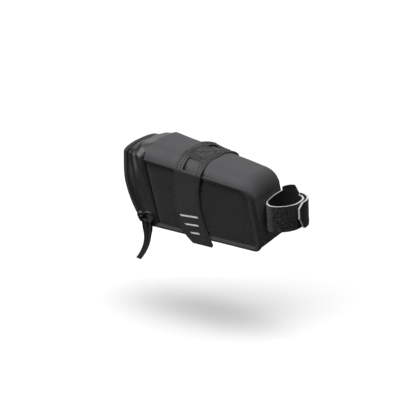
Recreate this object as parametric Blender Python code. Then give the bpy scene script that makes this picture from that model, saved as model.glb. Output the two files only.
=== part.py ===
"""Wedge saddle bag for a bicycle: zipped rear lid, strap over the saddle rails, strap round the seatpost.

Frame: origin midway between the two saddle rails, +X forward to the seatpost, +Y to the rider's
left, +Z up. Metres. Run with: blender --background --python part.py
"""
import math

import bmesh
import bpy
import numpy as np
from mathutils import Matrix, Vector

# Body, in side view
SEAM_X = -0.048            # where the rear band meets the top piping line
PIPING_DROP = 0.0086       # top piping line below the rails, at the seam
BODY_LENGTH = 0.108        # seam to the front corner, along the top piping line
BODY_HEIGHT = 0.0612       # top piping line at the seam, down to the bottom piping
TOP_SLOPE = math.radians(4.6)
FRONT_LEAN = math.radians(18.4)
SEAM_LEAN = math.radians(21.8)
NOSE_RADIUS = 0.0135
FRONT_CORNER_RADIUS = 0.005
REAR_CORNER_RADIUS = 0.014

# Body, across
HALF_WIDTH = 0.036         # at the rails, on the top piping line
TAPER = 0.057              # half-width lost for each metre forward
SPREAD = 0.0415            # half-width gained for each metre down
SHOULDER_WIDTH = 0.0165    # how far in the crown's rounded shoulder reaches
CROWN_RIM = 0.0052         # how far the top fabric stands above the piping line
CROWN_SEAM = 0.012
CROWN_NOSE = 0.0083
CROWN_FRONT_TOP = 0.0034
CROWN_FRONT_BOTTOM = 0.0003
DOME_SHARE = 0.1           # part of the crown that is one wide dome and not shoulder

# Rear opening: the zip follows an arc in side view
BAND_WIDTH = 0.019         # on top, seam to zip
RIM_DROP = 0.0029          # the arc's first point, below the piping line
RIM_LEAN = math.radians(10.7)
RIM_RADIUS = 0.120
ZIP_SLOT = 0.0016          # between the band's edge and the lid's edge
LID_EDGE = 0.0022          # depth of the lid's side strip
LID_DOME = 0.0055

# Layers
GAP = 0.0003               # between touching pieces
FABRIC = 0.0008
FOAM = 0.0018
LINING = 0.0006
PIPING_RADIUS = 0.0017
TAPE = 0.0005
COIL_RADIUS = 0.0006
TAPE_WIDTH = 0.006
ZIP_END_HEIGHT = 0.003     # the coils end this far above the bottom piping

# Strap over the rails
STRAP_WIDTH = 0.0268
STRAP_THICKNESS = 0.0017
STRAP_X = -0.001
STRAP_TAIL = 0.0052        # below the bottom of the bag
STRAP_SWEEP = 6.8          # forward curve of the hanging ends, per metre
STRAP_SWEEP_START = 0.0065 # below the piping line
STRAP_RISE_NEAR = 0.0012   # clearance of the arch over the crown, right side
STRAP_RISE_FAR = 0.0062    # and left side
PATCH = 0.0007
FLAP_HINGE_DROP = 0.0035   # flap's fold line below the piping line
WINDOW_WIDTH = 0.0115
WINDOW_FIRST = 3           # stations of the section that each window takes
WINDOW_ROWS = 4
STRAP_STATIONS = 25
STRAP_TILT = 0.13          # the strap rises to the rear more than the crown does
TAIL_CORNER = 0.009        # chamfer of the flap's rear corner
BAR_WIDTH = 0.0014
BAR_LENGTHS = (0.018, 0.0135, 0.009)
BAR_PITCH = 0.0085
BAR_HEIGHT = 0.0238

# Strap round the seatpost
POST_STRAP_WIDTH = 0.0245
POST_STRAP_THICKNESS = 0.0019
POST_STRAP_TILT = math.radians(10.0)
POST_STRAP_TOP = -0.0300   # top edge of the strap where it leaves the bag
POST_STRAP_REACH = 0.0295  # forward from the bag's front
POST_STRAP_HALF = 0.0235   # half the loop's width
TONGUE_RISE = 0.0085       # the left wall's base stands this much taller
TAIL_WRAP = 0.0125         # how far the tail passes the loop's middle

# Zip slider, hoop and pull
SLIDER_LENGTH = 0.0095
SLIDER_WIDTH = 0.0084
SLIDER_PLATE = 0.0011
SLIDER_HEIGHT = 0.006      # above the bottom piping
SLIDER_NECK = 0.0005
HOOP_LENGTH = 0.0125       # along the ring's flat side
HOOP_WIDTH = 0.0088
HOOP_WIRE = 0.0007
HOOP_LIFT = 0.0037         # ring above the side
HOOP_PIVOT = 1.6           # how far up its rear the ring passes the slider's bridge
PULL_LENGTH = 0.0385
PULL_WIDTH = 0.0070
PULL_BUNCH = 0.0011        # extra half-width where the tape is gathered on the ring
PULL_THICKNESS = 0.0014
PULL_CURL = 0.006
PULL_LEAN = 0.001

# Light loop on the lid
LIGHT_LOOP_LENGTH = 0.036
LIGHT_LOOP_WIDTH = 0.018
LIGHT_LOOP_RISE = 0.0052

TOP_Z = -PIPING_DROP
BOTTOM_Z = TOP_Z - BODY_HEIGHT
RIGHT, LEFT = -1, 1

COLOURS = {
    "twill": ((0.022, 0.021, 0.022), 0.75, 0.0),
    "weave": ((0.110, 0.107, 0.112), 0.70, 0.0),
    "coated": ((0.035, 0.036, 0.037), 0.38, 0.0),
    "strap": ((0.033, 0.033, 0.032), 0.55, 0.0),
    "pile": ((0.012, 0.011, 0.012), 0.95, 0.0),
    "foam": ((0.080, 0.080, 0.085), 0.90, 0.0),
    "lining": ((0.150, 0.150, 0.160), 0.65, 0.0),
    "zip": ((0.012, 0.012, 0.013), 0.45, 0.0),
    "metal": ((0.080, 0.080, 0.085), 0.30, 1.0),
    "reflective": ((0.620, 0.630, 0.640), 0.35, 0.0),
}


# ---------------------------------------------------------------- side view

def top_line(x):
    """Height of the top piping line."""
    return TOP_Z - math.tan(TOP_SLOPE) * (x - SEAM_X)


def side_corners(inset=0.0):
    """Corners of the side's outline, seam top first, clockwise seen from the right."""
    nose_x = SEAM_X + BODY_LENGTH
    nose_z = top_line(nose_x)
    foot_x = nose_x + math.tan(FRONT_LEAN) * (nose_z - BOTTOM_Z)
    heel_x = SEAM_X + math.tan(SEAM_LEAN) * BODY_HEIGHT
    corners = [(SEAM_X, TOP_Z), (nose_x, nose_z), (foot_x, BOTTOM_Z), (heel_x, BOTTOM_Z)]
    return drawn_in([Vector(c) for c in corners], inset)


def drawn_in(corners, inset):
    """A clockwise polygon with every side moved inward."""
    made = []
    for i, corner in enumerate(corners):
        before = (corner - corners[i - 1]).normalized()
        after = (corners[(i + 1) % len(corners)] - corner).normalized()
        inward = Vector((before.y, -before.x)) + Vector((after.y, -after.x))
        made.append(corner + inward * inset / (1 + before.dot(after)))
    return made


def rounded(corner, before, after, radius, steps):
    """Points of the arc that rounds a corner between two neighbours."""
    corner, before, after = (Vector(p) for p in (corner, before, after))
    back = (before - corner).normalized()
    on = (after - corner).normalized()
    half = back.angle(on) / 2
    centre = corner + (back + on).normalized() * radius / math.sin(half)
    first = corner + back * radius / math.tan(half) - centre
    last = corner + on * radius / math.tan(half) - centre
    turn = first.angle_signed(last)
    return [centre + Matrix.Rotation(-turn * i / steps, 2) @ first for i in range(steps + 1)]


def between(start, end, count):
    """Points from start up to, but not with, end."""
    start, end = Vector(start), Vector(end)
    return [start.lerp(end, i / count) for i in range(count)]


def side_arcs(inset=0.0):
    seam, nose, foot, heel = side_corners(inset)
    front_radius = max(FRONT_CORNER_RADIUS - inset, FRONT_CORNER_RADIUS / 5)
    return (rounded(nose, seam, foot, NOSE_RADIUS - inset, 7),
            rounded(foot, nose, heel, front_radius, 4),
            rounded(heel, foot, seam, REAR_CORNER_RADIUS - inset, 8))


def normals(path, closed=False):
    """Unit normals of a side-view path that runs clockwise: they point outward."""
    found = []
    last = len(path) - 1
    for i in range(len(path)):
        before = path[i - 1] if i or closed else path[0]
        after = path[(i + 1) % len(path)] if i < last or closed else path[last]
        along = (after - before).normalized()
        found.append(Vector((-along.y, along.x)))
    return found


def outset(path, distance, closed=False):
    return [p + n * distance for p, n in zip(path, normals(path, closed))]


def gusset_path():
    """The fabric's path over the top, round the nose and down the front."""
    nose, foot, _ = side_arcs()
    return (between(side_corners()[0], nose[0], 9) + nose[:-1] + between(nose[-1], foot[0], 6)
            + [foot[0]])


def bottom_path():
    """Round the front's lower corner and back under the bag to the lid."""
    foot = side_arcs()[1]
    rear = Vector((lid_fold_x(), BOTTOM_Z))
    return foot[:-1] + between(foot[-1], rear, 8) + [rear]


def rim_centre():
    lean = Vector((math.cos(RIM_LEAN), math.sin(RIM_LEAN)))
    return Vector((SEAM_X - BAND_WIDTH, TOP_Z - RIM_DROP)) + lean * RIM_RADIUS


def rim_x(z):
    """The zip's arc in side view."""
    centre = rim_centre()
    return centre.x - math.sqrt(RIM_RADIUS ** 2 - (z - centre.y) ** 2)


def lid_fold_x():
    """Where the bottom fabric ends and the lid folds down from it."""
    return rim_x(BOTTOM_Z) - ZIP_SLOT / 2 - LID_EDGE


def seam_profile(clearance):
    """The band's front edge, as a function of height, that clears the side panel."""
    heel = side_arcs()[2]
    edge = [heel[-1].lerp(Vector((SEAM_X, TOP_Z)), i / 6) for i in range(7)]
    line = outset(heel[:-1] + edge, clearance)
    heights = [p.y for p in line]
    return lambda z: float(np.interp(z, heights, [p.x for p in line]))


# ---------------------------------------------------------------- across

def half_width(x, z):
    return HALF_WIDTH - TAPER * x - SPREAD * (z - TOP_Z)


def shoulder(y, half, reach=SHOULDER_WIDTH):
    """Height share of the crown at y: 0 at the piece's edge, about 1 in the middle."""
    over = min(1.0, max(0.0, abs(y) - (half - reach)) / reach)
    round_part = math.sqrt(max(0.0, 1 - over * over))
    return (1 - DOME_SHARE) * round_part + DOME_SHARE * (1 - (y / half) ** 2)


def crown_height(x):
    """Crown over the piping line, rear opening to nose."""
    stations = (SEAM_X - BAND_WIDTH, SEAM_X, SEAM_X + BODY_LENGTH - NOSE_RADIUS)
    return float(np.interp(x, stations, (CROWN_RIM, CROWN_SEAM, CROWN_NOSE)))


def across(count):
    """Cross positions from -1 to 1, closer together at the shoulders."""
    return [math.sin(math.pi * (i / (count - 1) - 0.5)) for i in range(count)]


def gusset_row(point, normal, crown, inset, margin, count=17):
    """One row of the gusset, from the right edge to the left one."""
    base = point - normal * inset
    width = half_width(point.x, point.y) - margin
    row = []
    for share in across(count):
        y = share * width
        lift = crown * shoulder(y, width)
        row.append((base.x + normal.x * lift, y, base.y + normal.y * lift))
    return row


def gusset_grid(path, inset, margin, crowned=True):
    """Rows of gusset points along a side-view path."""
    lengths = [0.0]
    for a, b in zip(path, path[1:]):
        lengths.append(lengths[-1] + (b - a).length)
    nose = side_arcs()[0]
    marks = [0.0, (nose[0] - path[0]).length]
    marks += [marks[1] + NOSE_RADIUS * (nose[0] - nose[1]).angle(nose[-2] - nose[-1]), lengths[-1]]
    heights = (CROWN_SEAM, CROWN_NOSE, CROWN_FRONT_TOP, CROWN_FRONT_BOTTOM)
    grid = []
    for point, normal, length in zip(path, normals(path), lengths):
        crown = float(np.interp(length, marks, heights)) if crowned else 0.0
        grid.append(gusset_row(point, normal, crown, inset, margin))
    return grid


def rear_section(x_of_z, inset=0.0, foot=0.0, side_count=9, crown_count=15):
    """Right foot, up, over the crown and down to the left foot, on the surface x = x_of_z(z)."""
    low = BOTTOM_Z + foot
    top = top_line(x_of_z(TOP_Z)) - inset
    side = []
    for i in range(side_count):
        z = low + (top - low) * i / side_count
        side.append((x_of_z(z), half_width(x_of_z(z), z) - inset, z))
    crown = []
    for share in across(crown_count):
        x = x_of_z(TOP_Z)
        for _ in range(3):
            half = half_width(x, top) - inset
            z = top + crown_height(x) * shoulder(share * half, half)
            x = x_of_z(z)
        crown.append((x, share * half, z))
    right = [(x, -y, z) for x, y, z in side]
    return right + crown + side[::-1]


# ---------------------------------------------------------------- meshes

def material(name):
    if name in bpy.data.materials:
        return bpy.data.materials[name]
    colour, roughness, metallic = COLOURS[name]
    made = bpy.data.materials.new(name)
    made.use_nodes = True
    shader = made.node_tree.nodes["Principled BSDF"]
    shader.inputs["Base Color"].default_value = (*colour, 1)
    shader.inputs["Roughness"].default_value = roughness
    shader.inputs["Metallic"].default_value = metallic
    made.diffuse_color = (*colour, 1)
    return made


def finish(name, bm, colour, smooth_angle=math.radians(35)):
    """Turns a bmesh into a named object with outward faces."""
    bmesh.ops.recalc_face_normals(bm, faces=bm.faces)
    mesh = bpy.data.meshes.new(name)
    bm.to_mesh(mesh)
    bm.free()
    mesh.shade_smooth()
    mesh.set_sharp_from_angle(angle=smooth_angle)
    mesh.materials.append(material(colour))
    made = bpy.data.objects.new(name, mesh)
    bpy.context.collection.objects.link(made)
    return made


def slab(name, outer, inner, colour, hole=(), wrap=False):
    """A closed solid between two grids of points. Cells listed in hole stay open."""
    bm = bmesh.new()
    sheets = [[[bm.verts.new(p) for p in row] for row in grid] for grid in (outer, inner)]
    rows, cols = len(outer) - 1, len(outer[0]) - (0 if wrap else 1)
    edges = {}
    for r in range(rows):
        for c in range(cols):
            if (r, c) in hole:
                continue
            d = (c + 1) % len(outer[0])
            ring = [(r, c), (r, d), (r + 1, d), (r + 1, c)]
            bm.faces.new([sheets[0][i][j] for i, j in ring])
            bm.faces.new([sheets[1][i][j] for i, j in reversed(ring)])
            for a, b in zip(ring, ring[1:] + ring[:1]):
                if (b, a) in edges:
                    del edges[b, a]
                else:
                    edges[a, b] = True
    for (i, j), (k, m) in edges:
        bm.faces.new([sheets[0][k][m], sheets[0][i][j], sheets[1][i][j], sheets[1][k][m]])
    return finish(name, bm, colour)


def prism(name, ring_a, ring_b, colour):
    """A closed solid between two matching flat outlines."""
    bm = bmesh.new()
    first = [bm.verts.new(p) for p in ring_a]
    second = [bm.verts.new(p) for p in ring_b]
    bm.faces.new(first)
    bm.faces.new(second[::-1])
    for i in range(len(first)):
        j = (i + 1) % len(first)
        bm.faces.new([first[i], first[j], second[j], second[i]])
    return finish(name, bm, colour)


def tube(name, points, radius, colour, closed=False, sides=8):
    """A round bar along a path, mitred at its bends."""
    points = [Vector(p) for p in points]
    count = len(points)
    last = count - 1
    bm = bmesh.new()
    rings = []
    spin = None
    for i, point in enumerate(points):
        before = points[i - 1] if i or closed else points[0]
        after = points[(i + 1) % count] if i < last or closed else points[last]
        along = (after - before).normalized()
        spin = spin if spin else along.orthogonal()
        spin = (spin - along * spin.dot(along)).normalized()
        other = along.cross(spin)
        ring = []
        for k in range(sides):
            turn = 2 * math.pi * k / sides
            ring.append(bm.verts.new(point + (spin * math.cos(turn) + other * math.sin(turn)) * radius))
        rings.append(ring)
    for i in range(count if closed else last):
        a, b = rings[i], rings[(i + 1) % count]
        shift = 0
        if closed and i == last:
            shift = min(range(sides), key=lambda k: (a[0].co - b[k].co).length)
        for k in range(sides):
            m = (k + 1) % sides
            bm.faces.new([a[k], a[m], b[(m + shift) % sides], b[(k + shift) % sides]])
    if not closed:
        bm.faces.new(rings[0])
        bm.faces.new(rings[-1][::-1])
    return finish(name, bm, colour, math.radians(60))


def domed_plate(name, outline, depth, thickness, colour, rings=(1.0, 0.97, 0.86, 0.62, 0.32)):
    """A plate over a closed outline that bulges to the rear by depth in its middle."""
    centre = Vector((0, 0, sum(p[2] for p in outline) / len(outline)))
    bm = bmesh.new()

    def ring(scale, back):
        made = []
        for x, y, z in outline:
            height = centre.z + (z - centre.z) * scale
            sweep = rim_x(height) - rim_x(z)
            made.append(bm.verts.new((x + sweep - back, y * scale, height)))
        return made

    def sheet(offset):
        made = [ring(s, depth * (1 - s ** 2) ** 0.5 + offset) for s in rings]
        tip_x = rim_x(centre.z) + (outline[0][0] - rim_x(outline[0][2])) - depth - offset
        return made, bm.verts.new((tip_x, 0, centre.z))

    outer, outer_tip = sheet(thickness)
    inner, inner_tip = sheet(0.0)
    count = len(outline)
    for made, tip in ((outer, outer_tip), (inner, inner_tip)):
        for a, b in zip(made, made[1:]):
            for i in range(count):
                j = (i + 1) % count
                bm.faces.new([a[i], a[j], b[j], b[i]])
        for i in range(count):
            bm.faces.new([made[-1][i], made[-1][(i + 1) % count], tip])
    for i in range(count):
        j = (i + 1) % count
        bm.faces.new([outer[0][i], outer[0][j], inner[0][j], inner[0][i]])
    return finish(name, bm, colour)


# ---------------------------------------------------------------- body

def side_outline(inset):
    """The side panel's outline, drawn in by inset."""
    nose, foot, heel = side_arcs(inset)
    return [side_corners(inset)[0]] + nose + foot + heel


def side_plate(name, side, inset, start, thickness, colour):
    """A flat piece parallel to a side, from start to start + thickness inside its surface."""
    outline = side_outline(inset)
    rings = []
    for depth in (start, start + thickness):
        rings.append([(p.x, side * (half_width(p.x, p.y) - depth), p.y) for p in outline])
    return prism(name, rings[0], rings[1], colour)


def build_body():
    edge = PIPING_RADIUS + GAP
    foam_start = FABRIC + GAP
    lining_start = foam_start + FOAM + GAP
    path = gusset_path()
    path[0] = path[0].lerp(path[1], GAP / (path[1] - path[0]).length)
    path[-1] = path[-1].lerp(path[-2], 2 * GAP / (path[-1] - path[-2]).length)

    slab("top_front_panel", gusset_grid(path, 0, edge), gusset_grid(path, FABRIC, edge), "weave")
    foam_margin = edge + lining_start
    slab("top_foam", gusset_grid(path[:-1], foam_start, foam_margin),
         gusset_grid(path[:-1], foam_start + FOAM, foam_margin), "foam")

    under = bottom_path()
    slab("bottom_panel", gusset_grid(under, 0, edge, crowned=False),
         gusset_grid(under, FABRIC, edge, crowned=False), "twill")
    board = [p for p in under if p.y < BOTTOM_Z + GAP][1:-1]
    slab("bottom_board", gusset_grid(board, foam_start, foam_margin, crowned=False),
         gusset_grid(board, foam_start + FOAM, foam_margin, crowned=False), "foam")

    for side, word in ((RIGHT, "right"), (LEFT, "left")):
        side_plate(f"side_panel_{word}", side, edge, 0, FABRIC, "twill")
        side_plate(f"side_foam_{word}", side, edge + lining_start, foam_start, FOAM, "foam")
        piped = gusset_path() + bottom_path()[1:-1]
        start = PIPING_RADIUS * math.tan(SEAM_LEAN) + 3 * GAP
        piped[0] = piped[0].lerp(piped[1], start / (piped[1] - piped[0]).length)
        tube(f"piping_{word}", [(p.x, side * half_width(p.x, p.y), p.y) for p in piped],
             PIPING_RADIUS, "coated")

    build_band(edge)
    build_lining(lining_start)


def build_band(edge):
    """The coated collar between the side panels and the zip."""
    seam = seam_profile(GAP)
    slot = ZIP_SLOT / 2

    def profile(share):
        return lambda z: (rim_x(z) + slot) * (1 - share) + seam(z) * share

    def grid(inset):
        return [rear_section(profile(k / 4), inset, edge) for k in range(5)]

    slab("rear_band", grid(0), grid(FABRIC), "coated")


def inner_space(inset, rear_inset, margin):
    """A closed solid that fills the bag to inset below its surface, crowned inside margin."""
    nose, foot, _ = side_arcs(inset)
    drop = inset / math.cos(TOP_SLOPE)
    low, high = BOTTOM_Z + inset, top_line(rim_x(TOP_Z)) - drop
    rear_top = Vector((rim_x(TOP_Z) + rear_inset, high))
    seam_top = Vector((SEAM_X, TOP_Z - drop))
    rear_low = Vector((rim_x(low) + rear_inset, low))
    loop = between(rear_top, seam_top, 3) + between(seam_top, nose[0], 6) + nose[:-1]
    marks = [9, 9 + len(nose) - 1]
    loop += between(nose[-1], foot[0], 5)
    marks.append(len(loop))
    loop += foot[:-1] + between(foot[-1], rear_low, 6)
    loop += [Vector((rim_x(z) + rear_inset, z)) for z in np.linspace(low, high, 8)[:-1]]
    crowns = np.interp(range(len(loop)), marks + [marks[-1] + 1],
                       (CROWN_NOSE, CROWN_FRONT_TOP, CROWN_FRONT_BOTTOM, 0))
    crowns[:9] = [crown_height(p.x) for p in loop[:9]]
    ups = normals(loop, closed=True)
    ups[0] = ups[1]
    bm = bmesh.new()
    verts = []
    for point, up, crown in zip(loop, ups, crowns):
        side = half_width(point.x, point.y) - inset
        width = side + inset - margin
        row = []
        for y in [-side] + [share * width for share in across(17)] + [side]:
            lift = crown * shoulder(y, width)
            row.append(bm.verts.new((point.x + up.x * lift, y, point.y + up.y * lift)))
        verts.append(row)
    for i in range(len(verts)):
        k = (i + 1) % len(verts)
        for a, b, c, d in zip(verts[i], verts[i][1:], verts[k][1:], verts[k]):
            bm.faces.new([a, b, c, d])
    bm.faces.new([row[0] for row in verts])
    bm.faces.new([row[-1] for row in verts][::-1])
    return bm


def build_lining(start):
    """The thin lining bag, open to the rear, cut from two nested solids."""
    margin = PIPING_RADIUS + GAP + start
    start += 2 * GAP
    lining = finish("lining", inner_space(start, TAPE_WIDTH, margin), "lining")
    space = finish("lining_space", inner_space(start + LINING, -TAPE_WIDTH, margin), "lining")
    space.hide_render = True
    space.display_type = "WIRE"
    cut = lining.modifiers.new("space", "BOOLEAN")
    cut.operation = "DIFFERENCE"
    cut.object = space


# ---------------------------------------------------------------- zip and lid

def rim_collar(name, from_x, to_x, inset, thickness, colour, foot):
    """A strip round the opening, between two offsets behind or before the zip's arc."""
    def grid(depth):
        return [rear_section(lambda z, o=o: rim_x(z) + o, depth, foot) for o in (from_x, to_x)]

    return slab(name, grid(inset), grid(inset + thickness), colour)


def build_zip_and_lid():
    slot = ZIP_SLOT / 2
    tape = FABRIC + GAP
    foot = PIPING_RADIUS + GAP
    coil = tape + TAPE + GAP + COIL_RADIUS
    coil_x = slot + GAP + COIL_RADIUS
    parts = []
    rim_collar("zip_tape_body", slot, TAPE_WIDTH, tape, TAPE, "zip", foot)
    for word, sign in (("body", 1), ("lid", -1)):
        line = rear_section(lambda z: rim_x(z) + sign * coil_x, coil, ZIP_END_HEIGHT, 12, 17)
        made = tube(f"zip_coil_{word}", line, COIL_RADIUS, "zip", sides=6)
        parts += [made] if sign < 0 else []
    parts.append(rim_collar("zip_tape_lid", -slot - LID_EDGE, -slot, tape, TAPE, "zip", foot))
    parts.append(rim_collar("lid_edge", -slot - LID_EDGE, -slot, 0, FABRIC, "weave", foot))

    back = slot + LID_EDGE + GAP
    outline = rear_section(lambda z: rim_x(z) - back, GAP, foot)
    parts.append(domed_plate("lid_panel", outline, LID_DOME, FABRIC, "weave"))
    inside = SLIDER_WIDTH / 4 + depth_of_slider()
    ahead = FOAM + 2 * GAP
    inner = rear_section(lambda z: rim_x(z) - back + ahead, inside, foot + inside)
    parts.append(domed_plate("lid_foam", inner, LID_DOME, FOAM, "foam"))
    further = ahead + GAP + LINING
    lined = rear_section(lambda z: rim_x(z) - back + further, inside + GAP, foot + inside + GAP)
    parts.append(domed_plate("lid_lining", lined, LID_DOME, LINING, "lining"))
    parts.append(build_light_loop(back))

    hinge = bpy.data.objects.new("lid_hinge", None)
    hinge.location = (lid_fold_x(), 0, BOTTOM_Z)
    bpy.context.collection.objects.link(hinge)
    hinge_on(hinge, parts)


def hinge_on(empty, parts):
    """Parents pieces to the empty on their joint's axis and leaves them where they are."""
    bpy.context.view_layer.update()
    for part in parts:
        part.parent = empty
        part.matrix_parent_inverse = empty.matrix_world.inverted()


def depth_of_slider():
    """How far in from the surface the slider's inner plate starts."""
    return FABRIC + 4 * GAP + TAPE + 2 * COIL_RADIUS


def build_light_loop(back):
    """A web sewn to the lid at both ends, with room behind it for a lamp's clip."""
    half = LIGHT_LOOP_LENGTH / 2
    middle = (TOP_Z + BOTTOM_Z) / 2 + LIGHT_LOOP_WIDTH / 2
    seat = back + LID_DOME + FABRIC + GAP

    def grid(lift):
        rows = []
        for z in np.linspace(middle - LIGHT_LOOP_WIDTH / 2, middle + LIGHT_LOOP_WIDTH / 2, 5):
            row = []
            for i in range(13):
                share = i / 6 - 1
                rise = LIGHT_LOOP_RISE * (0.5 + 0.5 * math.cos(math.pi * share)) ** 0.6
                row.append((rim_x(z) - seat - rise - lift, share * half, z))
            rows.append(row)
        return rows

    return slab("light_loop", grid(FABRIC), grid(0), "strap")


# ---------------------------------------------------------------- slider, hoop, pull

def zip_frame():
    """Place and directions of the slider on the right run: out, along the zip, and across."""
    z = BOTTOM_Z + SLIDER_HEIGHT
    place = Vector((rim_x(z), -half_width(rim_x(z), z), z))
    outward = Vector((TAPER, -1, SPREAD)).normalized()
    centre = rim_centre()
    radial = Vector((place.x - centre.x, 0, z - centre.y)).normalized()
    along = outward.cross(radial).normalized()
    if along.z < 0:
        along = -along
    return place, outward, along, along.cross(outward).normalized()


def block(bm, centre, axes, sizes):
    """Adds a box with the given axes and full sizes."""
    corners = []
    for sx in (-0.5, 0.5):
        for sy in (-0.5, 0.5):
            for sz in (-0.5, 0.5):
                shift = sum((a * s * k for a, s, k in zip(axes, sizes, (sx, sy, sz))), Vector())
                corners.append(bm.verts.new(centre + shift))
    for face in ((0, 1, 3, 2), (4, 6, 7, 5), (0, 4, 5, 1), (2, 3, 7, 6), (0, 2, 6, 4), (1, 5, 7, 3)):
        bm.faces.new([corners[i] for i in face])


def build_slider():
    place, outward, along, over = zip_frame()
    axes = (along, over, outward)
    plate_lift = GAP + SLIDER_PLATE / 2
    depth = depth_of_slider()
    bm = bmesh.new()
    block(bm, place + outward * plate_lift, axes, (SLIDER_LENGTH, SLIDER_WIDTH, SLIDER_PLATE))
    body = finish("zip_slider", bm, "metal")
    neck_length = plate_lift + depth + SLIDER_PLATE / 2
    for word, lift, sizes in (
            ("neck", plate_lift - neck_length / 2, (SLIDER_LENGTH / 3, SLIDER_NECK, neck_length)),
            ("inner", -depth - SLIDER_PLATE / 2,
             (SLIDER_LENGTH * 0.6, SLIDER_WIDTH / 2, SLIDER_PLATE))):
        bm = bmesh.new()
        block(bm, place + outward * lift, axes, sizes)
        join(body, finish(f"slider_{word}", bm, "metal"))
    fore = Vector((1, outward.x, 0)).normalized()
    reach = 2 * HOOP_WIRE + 2 * GAP
    pivot = place + over * (SLIDER_WIDTH / 2 - reach) + outward * HOOP_LIFT
    arch = []
    for i in range(9):
        turn = math.pi * i / 8
        sink = 0.0 if 0 < i < 8 else HOOP_LIFT - plate_lift
        arch.append(pivot + fore * reach * math.cos(turn)
                    + outward * (reach * math.sin(turn) - sink))
    join(body, tube("slider_bridge", arch, HOOP_WIRE, "metal"))
    return pivot, outward


def join(base, tool):
    """Unites a helper shape with its piece."""
    tool.hide_render = True
    tool.display_type = "WIRE"
    union = base.modifiers.new(tool.name, "BOOLEAN")
    union.operation = "UNION"
    union.object = tool


def build_hoop_and_pull(pivot, outward):
    """A D-shaped ring, flat side down, whose rear runs through the slider's bridge."""
    fore = Vector((1, outward.x, 0)).normalized()
    up = outward.cross(fore).normalized()
    if up.z < 0:
        up = -up
    radius = HOOP_LENGTH / 2
    floor = HOOP_WIDTH - radius
    ring = []
    for i in range(13):
        turn = math.pi * i / 12
        ring.append((radius - radius * math.cos(turn), floor + radius * math.sin(turn)))
    corner = HOOP_WIRE * 2
    for i in range(4):
        turn = math.pi / 2 * i / 3
        ring.append((2 * radius - corner * (1 - math.cos(turn)), corner * (1 - math.sin(turn))))
    for i in range(4):
        turn = math.pi / 2 * (1 - i / 3)
        ring.append((corner * (1 - math.cos(turn)), corner * (1 - math.sin(turn))))
    start = pivot - up * floor * HOOP_PIVOT
    tube("zip_hoop", [start + fore * u + up * v for u, v in ring], HOOP_WIRE, "metal", closed=True)
    build_pull(start + fore * radius, outward, fore)


def build_pull(bar, outward, fore):
    """A tape folded round the ring's flat side; its two layers meet below and hang down."""
    down = fore.cross(outward).normalized()
    if down.z > 0:
        down = -down
    eye = HOOP_WIRE + GAP
    merge = eye * 3.2

    def centre_line(length):
        share = max(0.0, length) / PULL_LENGTH
        curl = PULL_CURL * (math.sin(math.pi * share) * 0.4 - max(0.0, share - 0.4) ** 2 * 2.8)
        lean = PULL_LEAN * share
        return bar + down * length + fore * curl + outward * lean

    def half_at(length):
        share = length / PULL_LENGTH
        return PULL_WIDTH / 2 * (1 - 0.17 * share) + PULL_BUNCH * math.exp(-(share / 0.3) ** 4)

    def sheet(stations):
        rows = []
        for length, lift in stations:
            point = centre_line(length) + outward * lift
            rows.append([point + fore * half_at(length) * k for k in (-1, -0.4, 0.4, 1)])
        return rows

    thick = PULL_THICKNESS / 2
    tail = [merge + (PULL_LENGTH - merge) * i / 10 for i in range(11)]
    reach = eye + thick
    outside = [(-reach * math.cos(t), reach * math.sin(t)) for t in (0.0, 0.5, 1.0, 1.57)]
    inside = [(-eye * math.cos(t), eye * math.sin(t)) for t in (0.0, 0.5, 1.0, 1.57)]
    front = outside + [(length, thick) for length in tail]
    front_inner = inside + [(merge - thick, 0.0)]
    bm = bmesh.new()
    outline = front + [(a, -b) for a, b in reversed(front[1:])]
    hole = front_inner + [(a, -b) for a, b in reversed(front_inner[1:-1])]
    outer_rows = [[bm.verts.new(p) for p in row] for row in sheet(outline)]
    hole_rows = [[bm.verts.new(p) for p in row] for row in sheet(hole)]
    for rows, flip in ((outer_rows, 1), (hole_rows, -1)):
        for i, row in enumerate(rows):
            other = rows[(i + 1) % len(rows)]
            for k in range(3):
                bm.faces.new([row[k], row[k + 1], other[k + 1], other[k]][::flip])
    for k in (0, 3):
        fill_side(bm, [r[k] for r in outer_rows], [r[k] for r in hole_rows], len(front), k == 0)
    bmesh.ops.recalc_face_normals(bm, faces=bm.faces)
    finish("zip_pull", bm, "strap")


def fill_side(bm, outer, hole, front_count, first):
    """Faces between the pull's outline and its eye, on one of its two edges."""
    half_hole = len(hole) // 2
    pairs = []
    for i in range(front_count):
        h = min(i, half_hole)
        pairs.append((i, h))
    for (a, ha), (b, hb) in zip(pairs, pairs[1:]):
        ring = [outer[a], outer[b], hole[hb], hole[ha]] if ha != hb else None
        if ring:
            bm.faces.new(ring if first else ring[::-1])
    count = len(outer)
    for (a, ha), (b, hb) in zip(pairs, pairs[1:]):
        if ha != hb:
            ring = [outer[-a % count], outer[-b % count], hole[-hb % len(hole)], hole[-ha % len(hole)]]
            bm.faces.new(ring[::-1] if first else ring)
    last = half_hole
    bm.faces.new(([outer[last], hole[half_hole], outer[-last % count]]
                  if not first else [outer[-last % count], hole[half_hole], outer[last]]))
    for i in range(last, front_count - 1):
        a, b = outer[i], outer[i + 1]
        c, d = outer[-(i + 1) % count], outer[-i % count]
        bm.faces.new([d, c, b, a] if not first else [a, b, c, d])


# ---------------------------------------------------------------- strap over the rails

def strap_gap(side):
    """Distance from the side panel to the strap's underside, over both fastener patches."""
    return 3 * GAP + 2 * PATCH


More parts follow.
